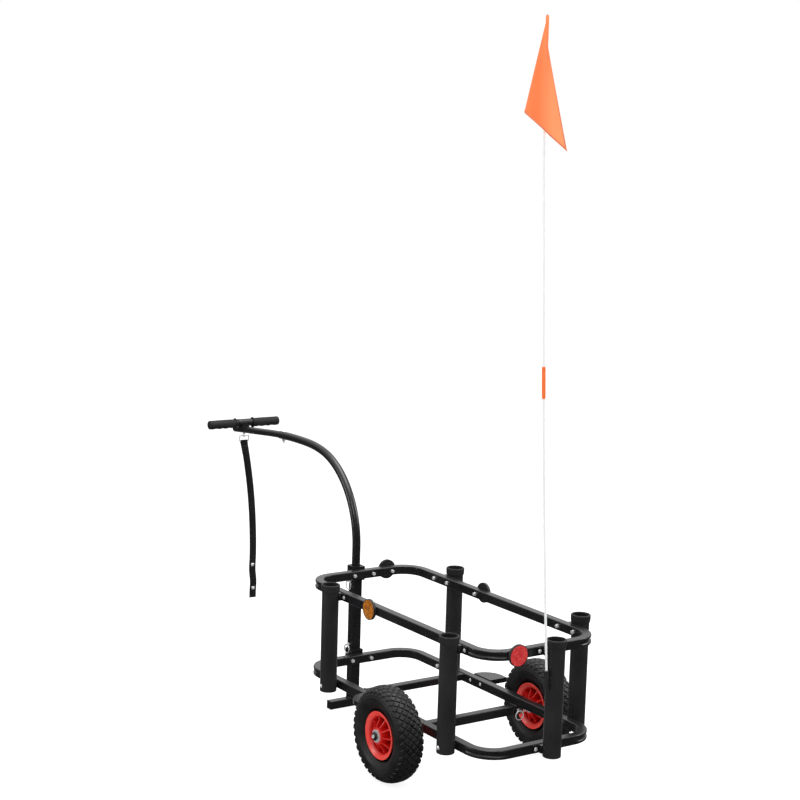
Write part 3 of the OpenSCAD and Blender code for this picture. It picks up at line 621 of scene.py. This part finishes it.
# Exponent of the casing's superellipse, and its angles in degrees at the finely divided part and the bead
CASING_SQUARENESS = 2.3
TREAD_ANGLE = 72
BEAD_ANGLE = 150
GROOVE = 1.2 * MM
GROOVE_WALL = 1.0 * MM


def smooth_step(low, high, value):
    t = np.clip((value - low) / (high - low), 0, 1)
    return t * t * (3 - 2 * t)


def tyre_section(crown, half_width):
    """Outer line of the casing between the tread blocks, from bead to bead, as radius and offset."""
    rise, reach = crown - TREAD_DEPTH - CASING_MIDDLE, half_width - TREAD_DEPTH
    low_side = np.linspace(-BEAD_ANGLE, -TREAD_ANGLE, 22, endpoint=False)
    tread = np.linspace(-TREAD_ANGLE, TREAD_ANGLE, 121)
    high_side = np.linspace(TREAD_ANGLE, BEAD_ANGLE, 23)[1:]
    angle = np.radians(np.concatenate([low_side, tread, high_side]))
    c, s = np.cos(angle), np.sin(angle)
    power = 2 / CASING_SQUARENESS
    return CASING_MIDDLE + rise * np.sign(c) * np.abs(c) ** power, reach * np.sign(s) * np.abs(s) ** power


# Rings on the side wall: radius, height and width in mm
WALL_RINGS = ((108, 0.8, 1.1), (101, 1.0, 1.3), (95, 0.5, 0.9), (78, 0.9, 1.5), (72, 0.8, 1.2))
# Inner side of the casing from a bead to the middle: radius and offset in mm
CASING_INSIDE = ((66, 18), (72, 20), (84, 29), (100, 33), (114, 27), (121, 14), (122, 0))


def tread_height(turn, along, crown):
    """Height of the diamond blocks above the casing, over the turn and the distance along the section."""
    pitch = 2 * math.pi * crown / TREAD_COUNT
    around = turn[:, None] * TREAD_COUNT / (2 * math.pi)
    across = along[None, :] / pitch
    rising, falling = around + across, around - across
    gap = np.full((len(turn), len(along)), 1.0)
    for lattice in (rising, falling):
        gap = np.minimum(gap, np.abs(lattice - np.round(lattice)) * pitch / math.sqrt(2))
    row = np.abs(np.floor(rising) - np.floor(falling)) / 2
    return TREAD_DEPTH * smooth_step(GROOVE, GROOVE + GROOVE_WALL, gap) * (row < TREAD_ROWS)


def build_tyre(side):
    low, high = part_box("tyre_" + side)
    centre = (low + high) / 2
    crown, half_width = (high.z - low.z) / 2, (high.y - low.y) / 2
    radius, offset = tyre_section(crown, half_width)
    dr, dy = np.gradient(radius), np.gradient(offset)
    step = np.hypot(dr, dy)
    along = np.cumsum(step) - step / 2
    along -= along[len(along) // 2]
    normal_r, normal_y = dy / step, -dr / step
    columns = TREAD_COUNT * COLUMNS_PER_BLOCK
    turn = np.arange(columns) * 2 * math.pi / columns
    height = tread_height(turn, along, crown)
    for ring_r, ring_h, ring_w in WALL_RINGS:
        ridge = ring_h * MM * np.exp(-(((radius - ring_r * MM) / (ring_w * MM)) ** 2))
        height = height + ridge[None, :]
    r = radius[None, :] + height * normal_r[None, :]
    y = offset[None, :] + height * normal_y[None, :]
    inner = [(r_in * MM, y_in * MM) for r_in, y_in in CASING_INSIDE]
    inner += [(a, -b) for a, b in inner[-2::-1]]
    r = np.concatenate([r, np.tile([p[0] for p in inner], (columns, 1))], axis=1)
    y = np.concatenate([y, np.tile([p[1] for p in inner], (columns, 1))], axis=1)
    x, z = centre.x + r * np.sin(turn)[:, None], centre.z + r * np.cos(turn)[:, None]
    points = np.stack([x, centre.y + y, z], 2)
    faces = lattice_faces(columns, r.shape[1], wrap_rows=True)
    mesh = mesh_of("tyre_tread_" + side, points.reshape(-1, 3), faces)
    tyre = add_object("tyre_tread_" + side, mesh, "tyre_rubber", "wheel_" + side)
    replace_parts(tyre, "tyre_" + side)


RIM_STEPS = 120
RIB_COUNT = 10
# Closed profiles of the rim as radius and offset in mm: barrel with its lip, hub and web
RIM_BARREL = ((50, 0), (50, 13), (53.5, 20), (55, 24.2), (61, 25.6), (64.6, 27.4), (65.4, 29.4), (64.6, 31),
              (62.2, 31.2), (57.4, 28.4), (52.5, 26), (49.5, 22), (47.4, 12), (46.6, 0))
RIM_HUB = ((10.6, 26.9), (17.6, 26.9), (17.6, 36.2), (18.6, 37), (21.4, 37), (23, 35.5), (24, 20), (24.5, 4))
RIM_WEB = ((23, 2.6), (48.2, 3.2), (48.2, -3.2), (23, -2.6))


def in_metres(profile, flip=1):
    return [(r * MM, flip * y * MM) for r, y in profile]


def build_rim(side):
    centre = centre_of("rim_" + side)
    barrel = in_metres(RIM_BARREL) + in_metres(RIM_BARREL[-2:0:-1], -1)
    hub = in_metres(RIM_HUB) + in_metres(RIM_HUB[::-1], -1)
    parts = []
    for profile, radius in ((barrel, 0.8), (hub, 0.8), (in_metres(RIM_WEB), 0.2)):
        loop = rounded(profile, radius * MM, 3)
        faces = lattice_faces(RIM_STEPS, len(loop), wrap_rows=True)
        parts.append((turned_points(loop, centre, RIM_STEPS), faces))
    for i in range(RIB_COUNT):
        for out in (-1, 1):
            parts.append(rib(centre, (i + 0.5) * 2 * math.pi / RIB_COUNT, out))
    mesh = joined_mesh("rim_dish_" + side, parts)
    rim = add_object("rim_dish_" + side, mesh, "rim_plastic", "wheel_" + side)
    bevel = rim.modifiers.new("soft_edges", "BEVEL")
    bevel.width = 0.7 * MM
    bevel.segments = 2
    bevel.limit_method = "ANGLE"
    bevel.angle_limit = math.radians(50)
    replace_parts(rim, "rim_" + side)


NUT_STEPS = 72
# Rows of the nut as distance from the wheel's middle and radius in mm: its hexagon, then its round cap
NUT_HEXAGON = ((39.5, 11.2), (40.2, 12.0), (43.6, 12.0))
NUT_CAP = ((44.4, 11.0), (44.6, 9.4), (46.2, 8.6), (46.8, 7.6))
AXLE_TIP = ((0.01, 46.4), (5.4, 46.4), (5.4, 47.9), (4.8, 48.3), (0.01, 48.3))


def hexagon_reach(angle):
    """How far the side of a hexagon of corner radius 1 is from its middle at an angle."""
    return math.cos(math.pi / 6) / math.cos((angle + math.pi / 6) % (math.pi / 3) - math.pi / 6)


def build_axle_nuts():
    """A hexagon nut with a low cap on each axle end, and the axle's turned tip standing in its middle."""
    for side, out in (("left", -1), ("right", 1)):
        centre = centre_of("rim_" + side)
        points = []
        for y, radius in NUT_HEXAGON + NUT_CAP:
            for a in circle(NUT_STEPS):
                r = radius * MM * (hexagon_reach(a) if (y, radius) in NUT_HEXAGON else 1)
                x, z = centre.x + r * math.sin(a), centre.z + r * math.cos(a)
                points.append((x, centre.y + out * y * MM, z))
        rows = len(NUT_HEXAGON + NUT_CAP)
        faces = lattice_faces(rows, NUT_STEPS)
        faces += [tuple(range(NUT_STEPS)), tuple(range((rows - 1) * NUT_STEPS, rows * NUT_STEPS))]
        name = "axle_nut_" + side
        nut = add_object(name, mesh_of(name, points, faces, smooth=False), "frame_paint", "frame")
        if side == "left":
            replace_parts(nut, "axle_nuts")
        turned = turned_mesh("axle_tip_" + side, in_metres(AXLE_TIP, out), centre, 48)
        add_object("axle_tip_" + side, turned, "zinc_steel", "frame")


# Outline of a rib as radius and offset in mm, its half thickness by the web, and what it loses outwards
RIB_OUTLINE = ((23, 2), (23, 33.5), (27, 32), (38, 24.5), (44, 21.5), (49, 20.5), (49, 2))
RIB_HALF = 2.4
RIB_TAPER = 0.9


def rib(centre, angle, out):
    """Points and faces of one rib from the hub to the barrel, tapering away from the web."""
    radial = Vector((math.sin(angle), 0, math.cos(angle)))
    tangent = Vector((math.cos(angle), 0, -math.sin(angle)))
    points = []
    for sign in (-1, 1):
        for r, y in RIB_OUTLINE:
            half = (RIB_HALF - RIB_TAPER * (y - 2) / 32) * MM
            points.append(centre + radial * r * MM + Vector((0, out * y * MM, 0)) + tangent * sign * half)
    n = len(RIB_OUTLINE)
    faces = [tuple(range(n)), tuple(range(2 * n - 1, n - 1, -1))]
    faces += [(i, (i + 1) % n, n + (i + 1) % n, n + i) for i in range(n)]
    return points, faces


# -------- reflectors

LENS_STEPS = 144
LENS_RINGS = 44
LENS_PITCH = 3.2 * MM
LENS_RIDGE = 0.45 * MM
LENS_RIM = 0.35 * MM


def prism_depth(x, z, a, share):
    """How far the prisms of one of three sectors cut into the lens at a place on its face."""
    sector = math.floor((a + math.pi / 2) / (2 * math.pi / 3)) * 2 * math.pi / 3
    ridge = abs(((x * math.cos(sector) + z * math.sin(sector)) / LENS_PITCH) % 1 - 0.5)
    cross = abs(((z * math.cos(sector) - x * math.sin(sector)) / LENS_PITCH) % 1 - 0.5)
    inside = float(1 - smooth_step(0.84, 0.88, share))
    return (ridge + cross) * LENS_RIDGE * inside


def lens_face(radius, thick):
    """Rings of (across, up, out) over a lens's face, from its middle to its edge."""
    points = []
    for k in range(LENS_RINGS + 1):
        share = k / LENS_RINGS
        r = radius * k / LENS_RINGS
        dome = thick * (0.90 - 0.18 * share ** 2) + (LENS_RIM if share > 0.87 else 0)
        for a in circle(LENS_STEPS):
            x, z = r * math.cos(a), r * math.sin(a)
            points.append((x, z, dome - prism_depth(x, z, a, share)))
    return points


def build_lens(name, slot, direction):
    """A domed lens with a plain rim and three sectors of prism ridges."""
    low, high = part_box(name)
    axis = Vector(direction)
    thick = abs((high - low).dot(axis))
    radius = max(high - low) / 2
    back = (low + high) / 2 - axis * thick / 2
    u = Vector((0, 0, 1))
    v = axis.cross(u)
    points = [back + v * x + u * z + axis * out for x, z, out in lens_face(radius, thick)]
    base, last = len(points), LENS_RINGS * LENS_STEPS
    points += [back + (v * math.cos(a) + u * math.sin(a)) * radius for a in circle(LENS_STEPS)]
    faces = lattice_faces(LENS_RINGS + 1, LENS_STEPS)
    for j in range(LENS_STEPS):
        k = (j + 1) % LENS_STEPS
        faces.append((last + j, last + k, base + k, base + j))
    faces.append(tuple(range(base, base + LENS_STEPS)))
    mesh = mesh_of(name + "_prisms", points, faces)
    weld = bmesh.new()
    weld.from_mesh(mesh)
    bmesh.ops.remove_doubles(weld, verts=weld.verts, dist=1e-6)
    weld.to_mesh(mesh)
    weld.free()
    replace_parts(add_object(name + "_prisms", mesh, slot, "frame"), name)


# -------- handle grips

GRIP_START = 30 * MM
GRIP_ROWS = 150
GRIP_COLUMNS = 64
# Radii in mm of the grip's palm and of the flange at its inner end
GRIP_R = 13.8
FLANGE_R = 17.6


def grip_ring(share, along):
    """Radius and angle of each point round a grip, at a share of its length and a distance along it."""
    flange = FLANGE_R * MM * math.exp(-((along - 2.6 * MM) / (2.4 * MM)) ** 4)
    end = max(0.0, 1 - ((share - 0.965) / 0.035) ** 2) ** 0.5 if share > 0.965 else 1.0
    swell = 0.9 * math.sin(math.pi * min(1.0, share * 1.05))
    swell += 0.9 * math.exp(-((share - 0.93) / 0.05) ** 2)
    for a in circle(GRIP_COLUMNS):
        below = max(0.0, -math.cos(a)) ** 1.5
        wave = math.cos(2 * math.pi * (share - 0.14) * 4.2)
        fingers = 0.8 * wave * below * smooth_pulse(share, 0.12, 0.9)
        flutes = 0.28 * math.cos(24 * a) * smooth_pulse(share, 0.10, 0.92) * (1 - below)
        r = (GRIP_R + swell * (0.6 + 0.5 * abs(math.sin(a))) + fingers + flutes) * MM
        r = max(r, flange)
        if share > 0.5:
            r *= 0.55 + 0.45 * end
        yield r, a


def build_grips():
    """Two rubber grips: a flange by the middle, an oval palm, finger waves below and a rounded end."""
    bar = centre_of("tee_bar")
    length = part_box("grips")[1].y - GRIP_START
    for name, side in (("grip_left", -1), ("grip_right", 1)):
        points = []
        for i in range(GRIP_ROWS):
            share = i / (GRIP_ROWS - 1)
            y = share * length
            for r, a in grip_ring(share, y):
                points.append((bar.x + r * math.sin(a), side * (GRIP_START + y), bar.z + r * math.cos(a)))
        last = (GRIP_ROWS - 1) * GRIP_COLUMNS
        faces = lattice_faces(GRIP_ROWS, GRIP_COLUMNS)
        faces += [tuple(range(GRIP_COLUMNS)), tuple(range(last, last + GRIP_COLUMNS))]
        grip = add_object(name, mesh_of(name, points, faces), "grip_rubber", "mast")
        if side < 0:
            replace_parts(grip, "grips")


def smooth_pulse(t, start, end):
    return float(smooth_step(start - 0.04, start + 0.04, t) * (1 - smooth_step(end - 0.04, end + 0.04, t)))


# -------- strap

STRAP_WIDTH = 25 * MM
STRAP_THICK = 1.5 * MM
STRAP_CORNER = 0.45 * MM
# How far the strap's end hangs sideways, and the size of its kinks and waves
STRAP_DRIFT = 41.5 * MM
STRAP_KINK = 1.8 * MM
STRAP_WAVE = 2.2 * MM
# Length of the sewn end behind the ring, and of the whole strap laid flat
STRAP_LOOP = 42 * MM
STRAP_TURN_STEPS = 12
STRAP_STEPS = 90
# Sewn box below the ring: its distance from the edges, its top and bottom, and the thread
STITCH_EDGE = 3.5 * MM
STITCH_TOP = 16 * MM
STITCH_BOTTOM = 36 * MM
STITCH_PITCH = 3.2 * MM
THREAD_R = 0.32 * MM
# Distance of the press studs below the ring
SNAPS = (426 * MM, 506 * MM)


class Strap:
    """Where the webbing hangs, from its CAD node and the wire ring that it is looped round."""

    def __init__(self):
        low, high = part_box("strap_webbing")
        ring_low, ring_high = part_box("strap_ring")
        wire = (ring_high.x - ring_low.x) / 2
        self.x = (low.x + high.x) / 2
        self.top = ring_low.z + wire
        self.drop = self.top - low.z
        self.turn = wire + STRAP_THICK * 0.6

    def at(self, share):
        """Middle of the hanging webbing at a share of its length."""
        drift = STRAP_DRIFT * (1 - (1 - min(share / 0.68, 1)) ** 1.8)
        kink = math.exp(-((share - 0.9) / 0.04) ** 2) - 1.2 * math.exp(-((share - 0.81) / 0.05) ** 2)
        wave = STRAP_WAVE * math.sin(2 * math.pi * share * 1.3) * share
        return Vector((self.x + wave, drift + STRAP_KINK * kink, self.top - share * self.drop))

    def path(self):
        """Middle of the webbing from its sewn end, over the wire and down to its free end."""
        path = []
        for k in range(10):
            share = (STRAP_LOOP * (1 - k / 10)) / self.drop
            behind = STRAP_THICK * 1.02 + self.turn * float(smooth_step(0, 1, k / 10))
            path.append(self.at(share) - Vector((behind, 0, 0)))
        for k in range(STRAP_TURN_STEPS + 1):
            a = math.pi * k / STRAP_TURN_STEPS
            x, z = self.x - self.turn * math.cos(a), self.top + self.turn * math.sin(a)
            path.append(Vector((x, 0.4 * MM * k / STRAP_TURN_STEPS, z)))
        for k in range(1, STRAP_STEPS + 1):
            share = k / STRAP_STEPS
            near = max(0.0, 1 - share * self.drop / (14 * MM))
            path.append(self.at(share) + Vector((self.turn * near ** 1.5, 0, 0)))
        return path


def strap_section(_share):
    """Closed section of the webbing with its corners cut, the same all along it."""
    half, t = STRAP_WIDTH / 2, STRAP_THICK / 2
    corner = STRAP_CORNER
    return [(-half, -t + corner), (-half + corner, -t), (half - corner, -t), (half, -t + corner),
            (half, t - corner), (half - corner, t), (-half + corner, t), (-half, t - corner)]


def build_strap():
    line = Strap()
    points, faces = swept(line.path(), Vector((0, 1, 0)), strap_section)
    strap = add_object("strap_web", mesh_of("strap_web", points, faces), "webbing", "strap")
    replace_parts(strap, "strap_webbing")
    stitches = add_object("strap_stitches", stitch_mesh(line), "webbing", "strap", "thread")
    snaps = add_object("strap_snaps", snap_mesh(line), "zinc_steel", "strap", "snap_metal")


def thread_section(_share):
    return round_section(THREAD_R, 6)


def stitch_mesh(line):
    """A sewn box with a cross below the ring, one short raised thread after another."""
    half = STRAP_WIDTH / 2 - STITCH_EDGE
    corners = [(-half, STITCH_TOP), (half, STITCH_TOP), (half, STITCH_BOTTOM), (-half, STITCH_BOTTOM)]
    seams = [(corners[i], corners[(i + 1) % 4]) for i in range(4)]
    seams += [(corners[0], corners[2]), (corners[1], corners[3])]
    parts = []
    for (y0, z0), (y1, z1) in seams:
        count = max(2, int(math.hypot(y1 - y0, z1 - z0) / STITCH_PITCH))
        for k in range(count):
            ends = []
            for share in ((k + 0.15) / count, (k + 0.85) / count):
                at = line.at((z0 + (z1 - z0) * share) / line.drop)
                ends.append(at + Vector((STRAP_THICK / 2 + 0.05 * MM, y0 + (y1 - y0) * share, 0)))
            path = [ends[0].lerp(ends[1], t) + Vector((0.25 * MM * math.sin(math.pi * t), 0, 0))
                    for t in (0, 0.25, 0.5, 0.75, 1)]
            parts.append(swept(path, Vector((1, 0, 0)), thread_section))
    return joined_mesh("strap_stitches", parts)


def snap_mesh(line):
    """Two press studs: a wide cap on the outer face with a ring round it, and a low socket behind."""
    out = Vector((1, 0, 0))
    face = out * STRAP_THICK * 0.35
    parts = []
    for down in SNAPS:
        at = line.at(down / line.drop)
        parts.append(disc_dome(at + face, out, 6.0 * MM, 1.5 * MM))
        parts.append(disc_dome(at + face + out * 1.0 * MM, out, 4.0 * MM, 1.2 * MM))
        parts.append(disc_dome(at - face, -out, 5.0 * MM, 1.4 * MM))
    return joined_mesh("strap_snaps", parts)


# -------- flag

# Metres: the edge along the pole, and the free edge from the pole's top
FLAG_HOIST = 0.2155
FLAG_LONG_EDGE = 0.3255
FLAG_THICK = 0.5 * MM
FLAG_TURN = math.radians(56)
FLAG_FACE = Vector((math.sin(FLAG_TURN), -math.cos(FLAG_TURN), 0))
FLAG_SIDE = Vector((math.cos(FLAG_TURN), math.sin(FLAG_TURN), 0))
# Sideways and forward angles, in degrees, of the cloth's rays from the pole's top: behind the pole to
# the left, round a soft fold, and back in front of the pole to the right
FLAG_RAYS = ((0, 0), (-3.0, -2.4), (-7.5, -3.2), (-10.9, -2.2), (-12.2, 0), (-10.8, 2.1), (-7, 3.3),
             (-2, 3.2), (3, 2.0), (6.5, 2.4), (9.3, 3.8))
# Distance from the pole's top at which the cloth in front starts to open to the side
FLAG_OPENS = 0.066
# How far the folded cloth lies in front of the pole, and the size of its ripples
FOLD_FRONT = 5.2 * MM
FLAG_RIPPLE = 1.4 * MM
HEM_THICK = 1.3 * MM
# Inner and outer face of the pole pocket, off the pole
SLEEVE_FACES = (0.4 * MM, 1.0 * MM)
POLE_R = 3.2 * MM
POLE_BOW = 8.0 * MM
POLE_CAP = 3.0 * MM
POLE_SIDES = 24
ROD_STEPS = 90
# Half length of the ferrule, and in mm its wall and how much more that is in the middle
FERRULE_HALF = 40 * MM
FERRULE_WALL = 1.45
FERRULE_BULGE = 0.2


def rod_line(name):
    """Low end, upward direction and length of a rod of the flag pole, from its CAD mesh."""
    co = np.array([v.co for v in nodes[name].data.vertices], float)
    mid = co.mean(0)
    direction = np.linalg.svd(co - mid, full_matrices=False)[2][0]
    direction *= np.sign(direction[2])
    reach = (co - mid) @ direction
    return Vector(mid + direction * reach.min()), Vector(direction), float(np.ptp(reach))


class Pole:
    """The flag pole's centre line: straight in its socket, then bowed a little by its own spring."""

    def __init__(self):
        self.foot, self.up, _ = rod_line("flag_pole_lower")
        high, _, upper_length = rod_line("flag_pole_upper")
        self.joint = (high - self.foot).dot(self.up)
        self.length = self.joint + upper_length + POLE_CAP
        self.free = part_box("flag_socket")[1].z - self.foot.z
        self.radius = POLE_R

    def at(self, along):
        share = min(1, max(0, (along - self.free) / (self.length - self.free)))
        bow = math.sin(math.pi / 2 * min(share / 0.45, 1))
        if share > 0.75:
            bow *= 1 - ((share - 0.75) / 0.25) ** 1.6
        return self.foot + self.up * along - FLAG_SIDE * POLE_BOW * bow


def build_rod(pole, name, node, start, end, body):
    path = [pole.at(start + (end - start) * k / ROD_STEPS) for k in range(ROD_STEPS + 1)]

    def section(share):
        tip = min(1.0, share * ROD_STEPS + 0.75, (1 - share) * ROD_STEPS + 0.75)
        return round_section(pole.radius * tip, POLE_SIDES)

    rod = add_object(name, mesh_of(name, *swept(path, FLAG_SIDE, section)), "pole_white", body)
    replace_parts(rod, node)


def build_ferrule(pole):
    """The orange sleeve over the joint, a little fuller in its middle and thinner at its ends."""
    start, end = pole.joint - FERRULE_HALF, pole.joint + FERRULE_HALF
    path = [pole.at(start + (end - start) * k / 40) for k in range(41)]

    def section(share):
        edge = min(share, 1 - share) * 80
        wall = (FERRULE_WALL + FERRULE_BULGE * math.sin(math.pi * share)) * MM
        return round_section(pole.radius + wall * min(1, 0.6 + edge * 0.4), POLE_SIDES)

    add_object("flag_ferrule", mesh_of("flag_ferrule", *swept(path, FLAG_SIDE, section)), "flag_fabric",
               "flag_lower", "ferrule")


def smooth_rays():
    """FLAG_RAYS as a dense smooth line with its running length, in radians."""
    p = np.radians(np.array(FLAG_RAYS, float))
    p = np.vstack([2 * p[0] - p[1], p, 2 * p[-1] - p[-2]])
    line = []
    for i in range(1, len(p) - 2):
        for t in np.arange(0, 1, 0.05):
            line.append(0.5 * (2 * p[i] + (p[i + 1] - p[i - 1]) * t
                               + (2 * p[i - 1] - 5 * p[i] + 4 * p[i + 1] - p[i + 2]) * t * t
                               + (3 * p[i] - p[i - 1] - 3 * p[i + 1] + p[i + 2]) * t ** 3))
    line = np.array(line + [p[-2]])
    return line, np.concatenate([[0], np.cumsum(np.linalg.norm(np.diff(line, axis=0), axis=1))])


class Pennant:
    """The hanging cloth: nearly a cone of straight rays from the pole's top, so that it unrolls to a
    flat triangle but for its ripples and where its edge is drawn towards the pole."""

    def __init__(self, pole):
        self.pole = pole
        self.line, self.turned = smooth_rays()
        self.spread = self.turned[-1]
        self.tip = (FLAG_LONG_EDGE * math.cos(self.spread), FLAG_LONG_EDGE * math.sin(self.spread))
        self.area = FLAG_HOIST * self.tip[1] / 2

    def reach(self, turned):
        """Length of the ray to the bottom edge of the flat triangle."""
        x, y = self.tip
        return FLAG_HOIST * y / (y * math.cos(turned) - (x - FLAG_HOIST) * math.sin(turned))

    def point(self, across, share):
        turned = self.spread * across
        side, face = (float(np.interp(turned, self.turned, self.line[:, k])) for k in (0, 1))
        reach = share * self.reach(turned)
        sideways = reach * math.sin(side)
        if side > 0:
            opened = max(0.0, reach - FLAG_OPENS) / (FLAG_LONG_EDGE - FLAG_OPENS) * FLAG_LONG_EDGE
            sideways = math.sin(side) * math.hypot(opened, 4 * MM)
        front = FOLD_FRONT * smooth_pulse(across, 0.33, 2.0)
        ripple = FLAG_RIPPLE * math.sin(11 * share + 7 * across) * share * smooth_pulse(across, 0.45, 2.0)
        down = reach * math.cos(math.hypot(side, face))
        return (self.pole.at(self.pole.length - down) + FLAG_SIDE * sideways
                + FLAG_FACE * (reach * math.sin(face) + front + ripple))


def cloth_strip(cloth, spans, counts):
    """Points and faces of part of the pennant, between two shares across and two shares down."""
    (a0, a1), (s0, s1) = spans
    rows, columns = counts
    points = [cloth.point(a0 + (a1 - a0) * j / columns, s0 + (s1 - s0) * i / rows)
              for i in range(rows + 1) for j in range(columns + 1)]
    return points, lattice_faces(rows + 1, columns + 1, wrap_columns=False)


def thicken(thing, amount):
    body = thing.modifiers.new("cloth_thickness", "SOLIDIFY")
    body.thickness = amount
    body.offset = 0


def build_flag(pole):
    cloth = Pennant(pole)
    mesh = mesh_of("flag_pennant", *cloth_strip(cloth, ((0, 1), (0.02, 1)), (90, 150)))
    flag = add_object("flag_pennant", mesh, "flag_fabric", "flag_upper")
    thicken(flag, FLAG_THICK)
    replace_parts(flag, "flag_cloth")
    edges = [cloth_strip(cloth, ((0.03, 1), (0.982, 0.999)), (4, 150)),
             cloth_strip(cloth, ((0.983, 0.999), (0.06, 0.999)), (90, 4))]
    hems = add_object("flag_hems", joined_mesh("flag_hems", edges), "flag_fabric", "flag_upper", "hem")
    thicken(hems, HEM_THICK)
    sleeve = build_sleeve(pole)
    build_pole_tip(pole)
    max(FLAG_HOIST, cloth.tip[0])


def build_sleeve(pole):
    """The pole pocket: a slightly wrinkled tube of the same cloth, open at both ends."""
    rows, columns = 60, 28
    shells = []
    for grow in SLEEVE_FACES:
        for i in range(rows + 1):
            share = i / rows
            for a in circle(columns):
                crease = 0.3 * MM * math.sin(3 * a + 14 * share) * math.sin(math.pi * share)
                r = pole.radius + grow + max(crease, -0.25 * MM)
                shells.append(pole.at(pole.length - 2 * MM - share * (FLAG_HOIST - 2 * MM))
                              + (FLAG_SIDE * math.cos(a) + FLAG_FACE * math.sin(a)) * r)
    count = (rows + 1) * columns
    faces = lattice_faces(rows + 1, columns) + lattice_faces(rows + 1, columns, start=count)
    for row in (0, rows):
        for j in range(columns):
            k = (j + 1) % columns
            a, b = row * columns + j, row * columns + k
            faces.append((a, b, count + b, count + a))
    return add_object("flag_sleeve", mesh_of("flag_sleeve", shells, faces), "flag_fabric", "flag_upper")


def build_pole_tip(pole):
    """A small moulded cap on the pole's end, inside the top of the sleeve."""
    start = pole.at(pole.length - 5 * MM)
    points, faces = disc_dome(start, pole.up, pole.radius + 0.3 * MM, 5.4 * MM, 32, 8)
    add_object("flag_pole_tip", mesh_of("flag_pole_tip", points, faces), "black_plastic", "flag_upper")


def build_flag_pole():
    pole = Pole()
    build_rod(pole, "flag_rod_lower", "flag_pole_lower", 0, pole.joint - 0.5 * MM, "flag_lower")
    build_rod(pole, "flag_rod_upper", "flag_pole_upper", pole.joint, pole.length - POLE_CAP, "flag_upper")
    build_ferrule(pole)
    build_flag(pole)


# -------- frame details

BEAD_R = 2.0 * MM
FOOT_BEAD_R = 1.6 * MM
BEAD_CORNER = 3 * MM
BEAD_STEP = 0.8 * MM
BEAD_RIPPLE = 0.62 * MM


def weld_bead(centre, normal, half_a, half_b, radius):
    """A rippled fillet bead round a rectangular joint, lying in the plane across normal."""
    normal = Vector(normal)
    u = Vector((0, 0, 1)) if abs(normal.z) < 0.5 else Vector((1, 0, 0))
    v = normal.cross(u)
    line = []
    for sx, sy, start in ((1, 1, 0), (-1, 1, 90), (-1, -1, 180), (1, -1, 270)):
        for k in range(6):
            a = math.radians(start + 90 * k / 5)
            x = sx * (half_a - BEAD_CORNER) + BEAD_CORNER * math.cos(a)
            y = sy * (half_b - BEAD_CORNER) + BEAD_CORNER * math.sin(a)
            line.append((x, y))
    dense = []
    for i, (x, y) in enumerate(line):
        x2, y2 = line[(i + 1) % len(line)]
        count = max(1, int(math.hypot(x2 - x, y2 - y) / BEAD_STEP))
        dense += [(x + (x2 - x) * k / count, y + (y2 - y) * k / count) for k in range(count)]
    points = []
    travelled = 0.0
    for i, (x, y) in enumerate(dense):
        before, after = Vector(dense[i - 1]), Vector(dense[(i + 1) % len(dense)])
        travelled += (Vector((x, y)) - before).length
        tangent = (after - before).normalized()
        out = Vector((tangent.y, -tangent.x))
        r = radius * (1 + 0.14 * math.sin(travelled / BEAD_RIPPLE))
        for a in circle(8):
            at = Vector((x, y)) + out * r * math.cos(a)
            points.append(centre + u * at.x + v * at.y + normal * r * math.sin(a))
    return points, lattice_faces(len(dense), 8, wrap_rows=True)


def build_welds():
    parts = []
    lower_low, lower_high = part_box("lower_ring")
    tube = lower_high.z - lower_low.z
    inner = lower_high.y - tube
    for node in ("front_crossbar", "axle_beam"):
        low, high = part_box(node)
        for side in (-1, 1):
            middle = (low + high) / 2
            middle.y = side * inner
            parts.append(weld_bead(middle, (0, 1, 0), (high.z - low.z) / 2, (high.x - low.x) / 2, BEAD_R))
    add_object("weld_beads", joined_mesh("weld_beads", parts), "frame_paint", "frame")
    low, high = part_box("mast_tube")
    half = (high.y - low.y) / 2
    foot = Vector(((low.x + high.x) / 2, 0, low.z))
    bead = mesh_of("foot_weld", *weld_bead(foot, (0, 0, 1), half, half, FOOT_BEAD_R))
    add_object("foot_weld", bead, "frame_paint", "mast")


def finish_cad_nodes():
    """Gives every CAD node the procedural finish of its record slot."""
    for part in frame["record"]["subparts"]:
        thing = nodes[part["node"]]
        paint = PAINTS[part["material_slot"]].material
        if not thing.material_slots:
            thing.data.materials.append(None)
        for slot in thing.material_slots:
            slot.link = "OBJECT"
            slot.material = paint


make_camera()
make_studio()
PAINTS = make_materials()
make_floor()
finish_cad_nodes()
for wheel in ("left", "right"):
    build_tyre(wheel)
    build_rim(wheel)
for lens, lens_slot, facing in (
        ("lens_left", "amber_lens", (0, -1, 0)), ("lens_right", "amber_lens", (0, 1, 0)),
        ("lens_rear", "red_lens", (1, 0, 0)), ("lens_front", "clear_lens", (-1, 0, 0))):
    build_lens(lens, lens_slot, facing)
build_axle_nuts()
build_grips()
build_strap()
build_flag_pole()
build_welds()
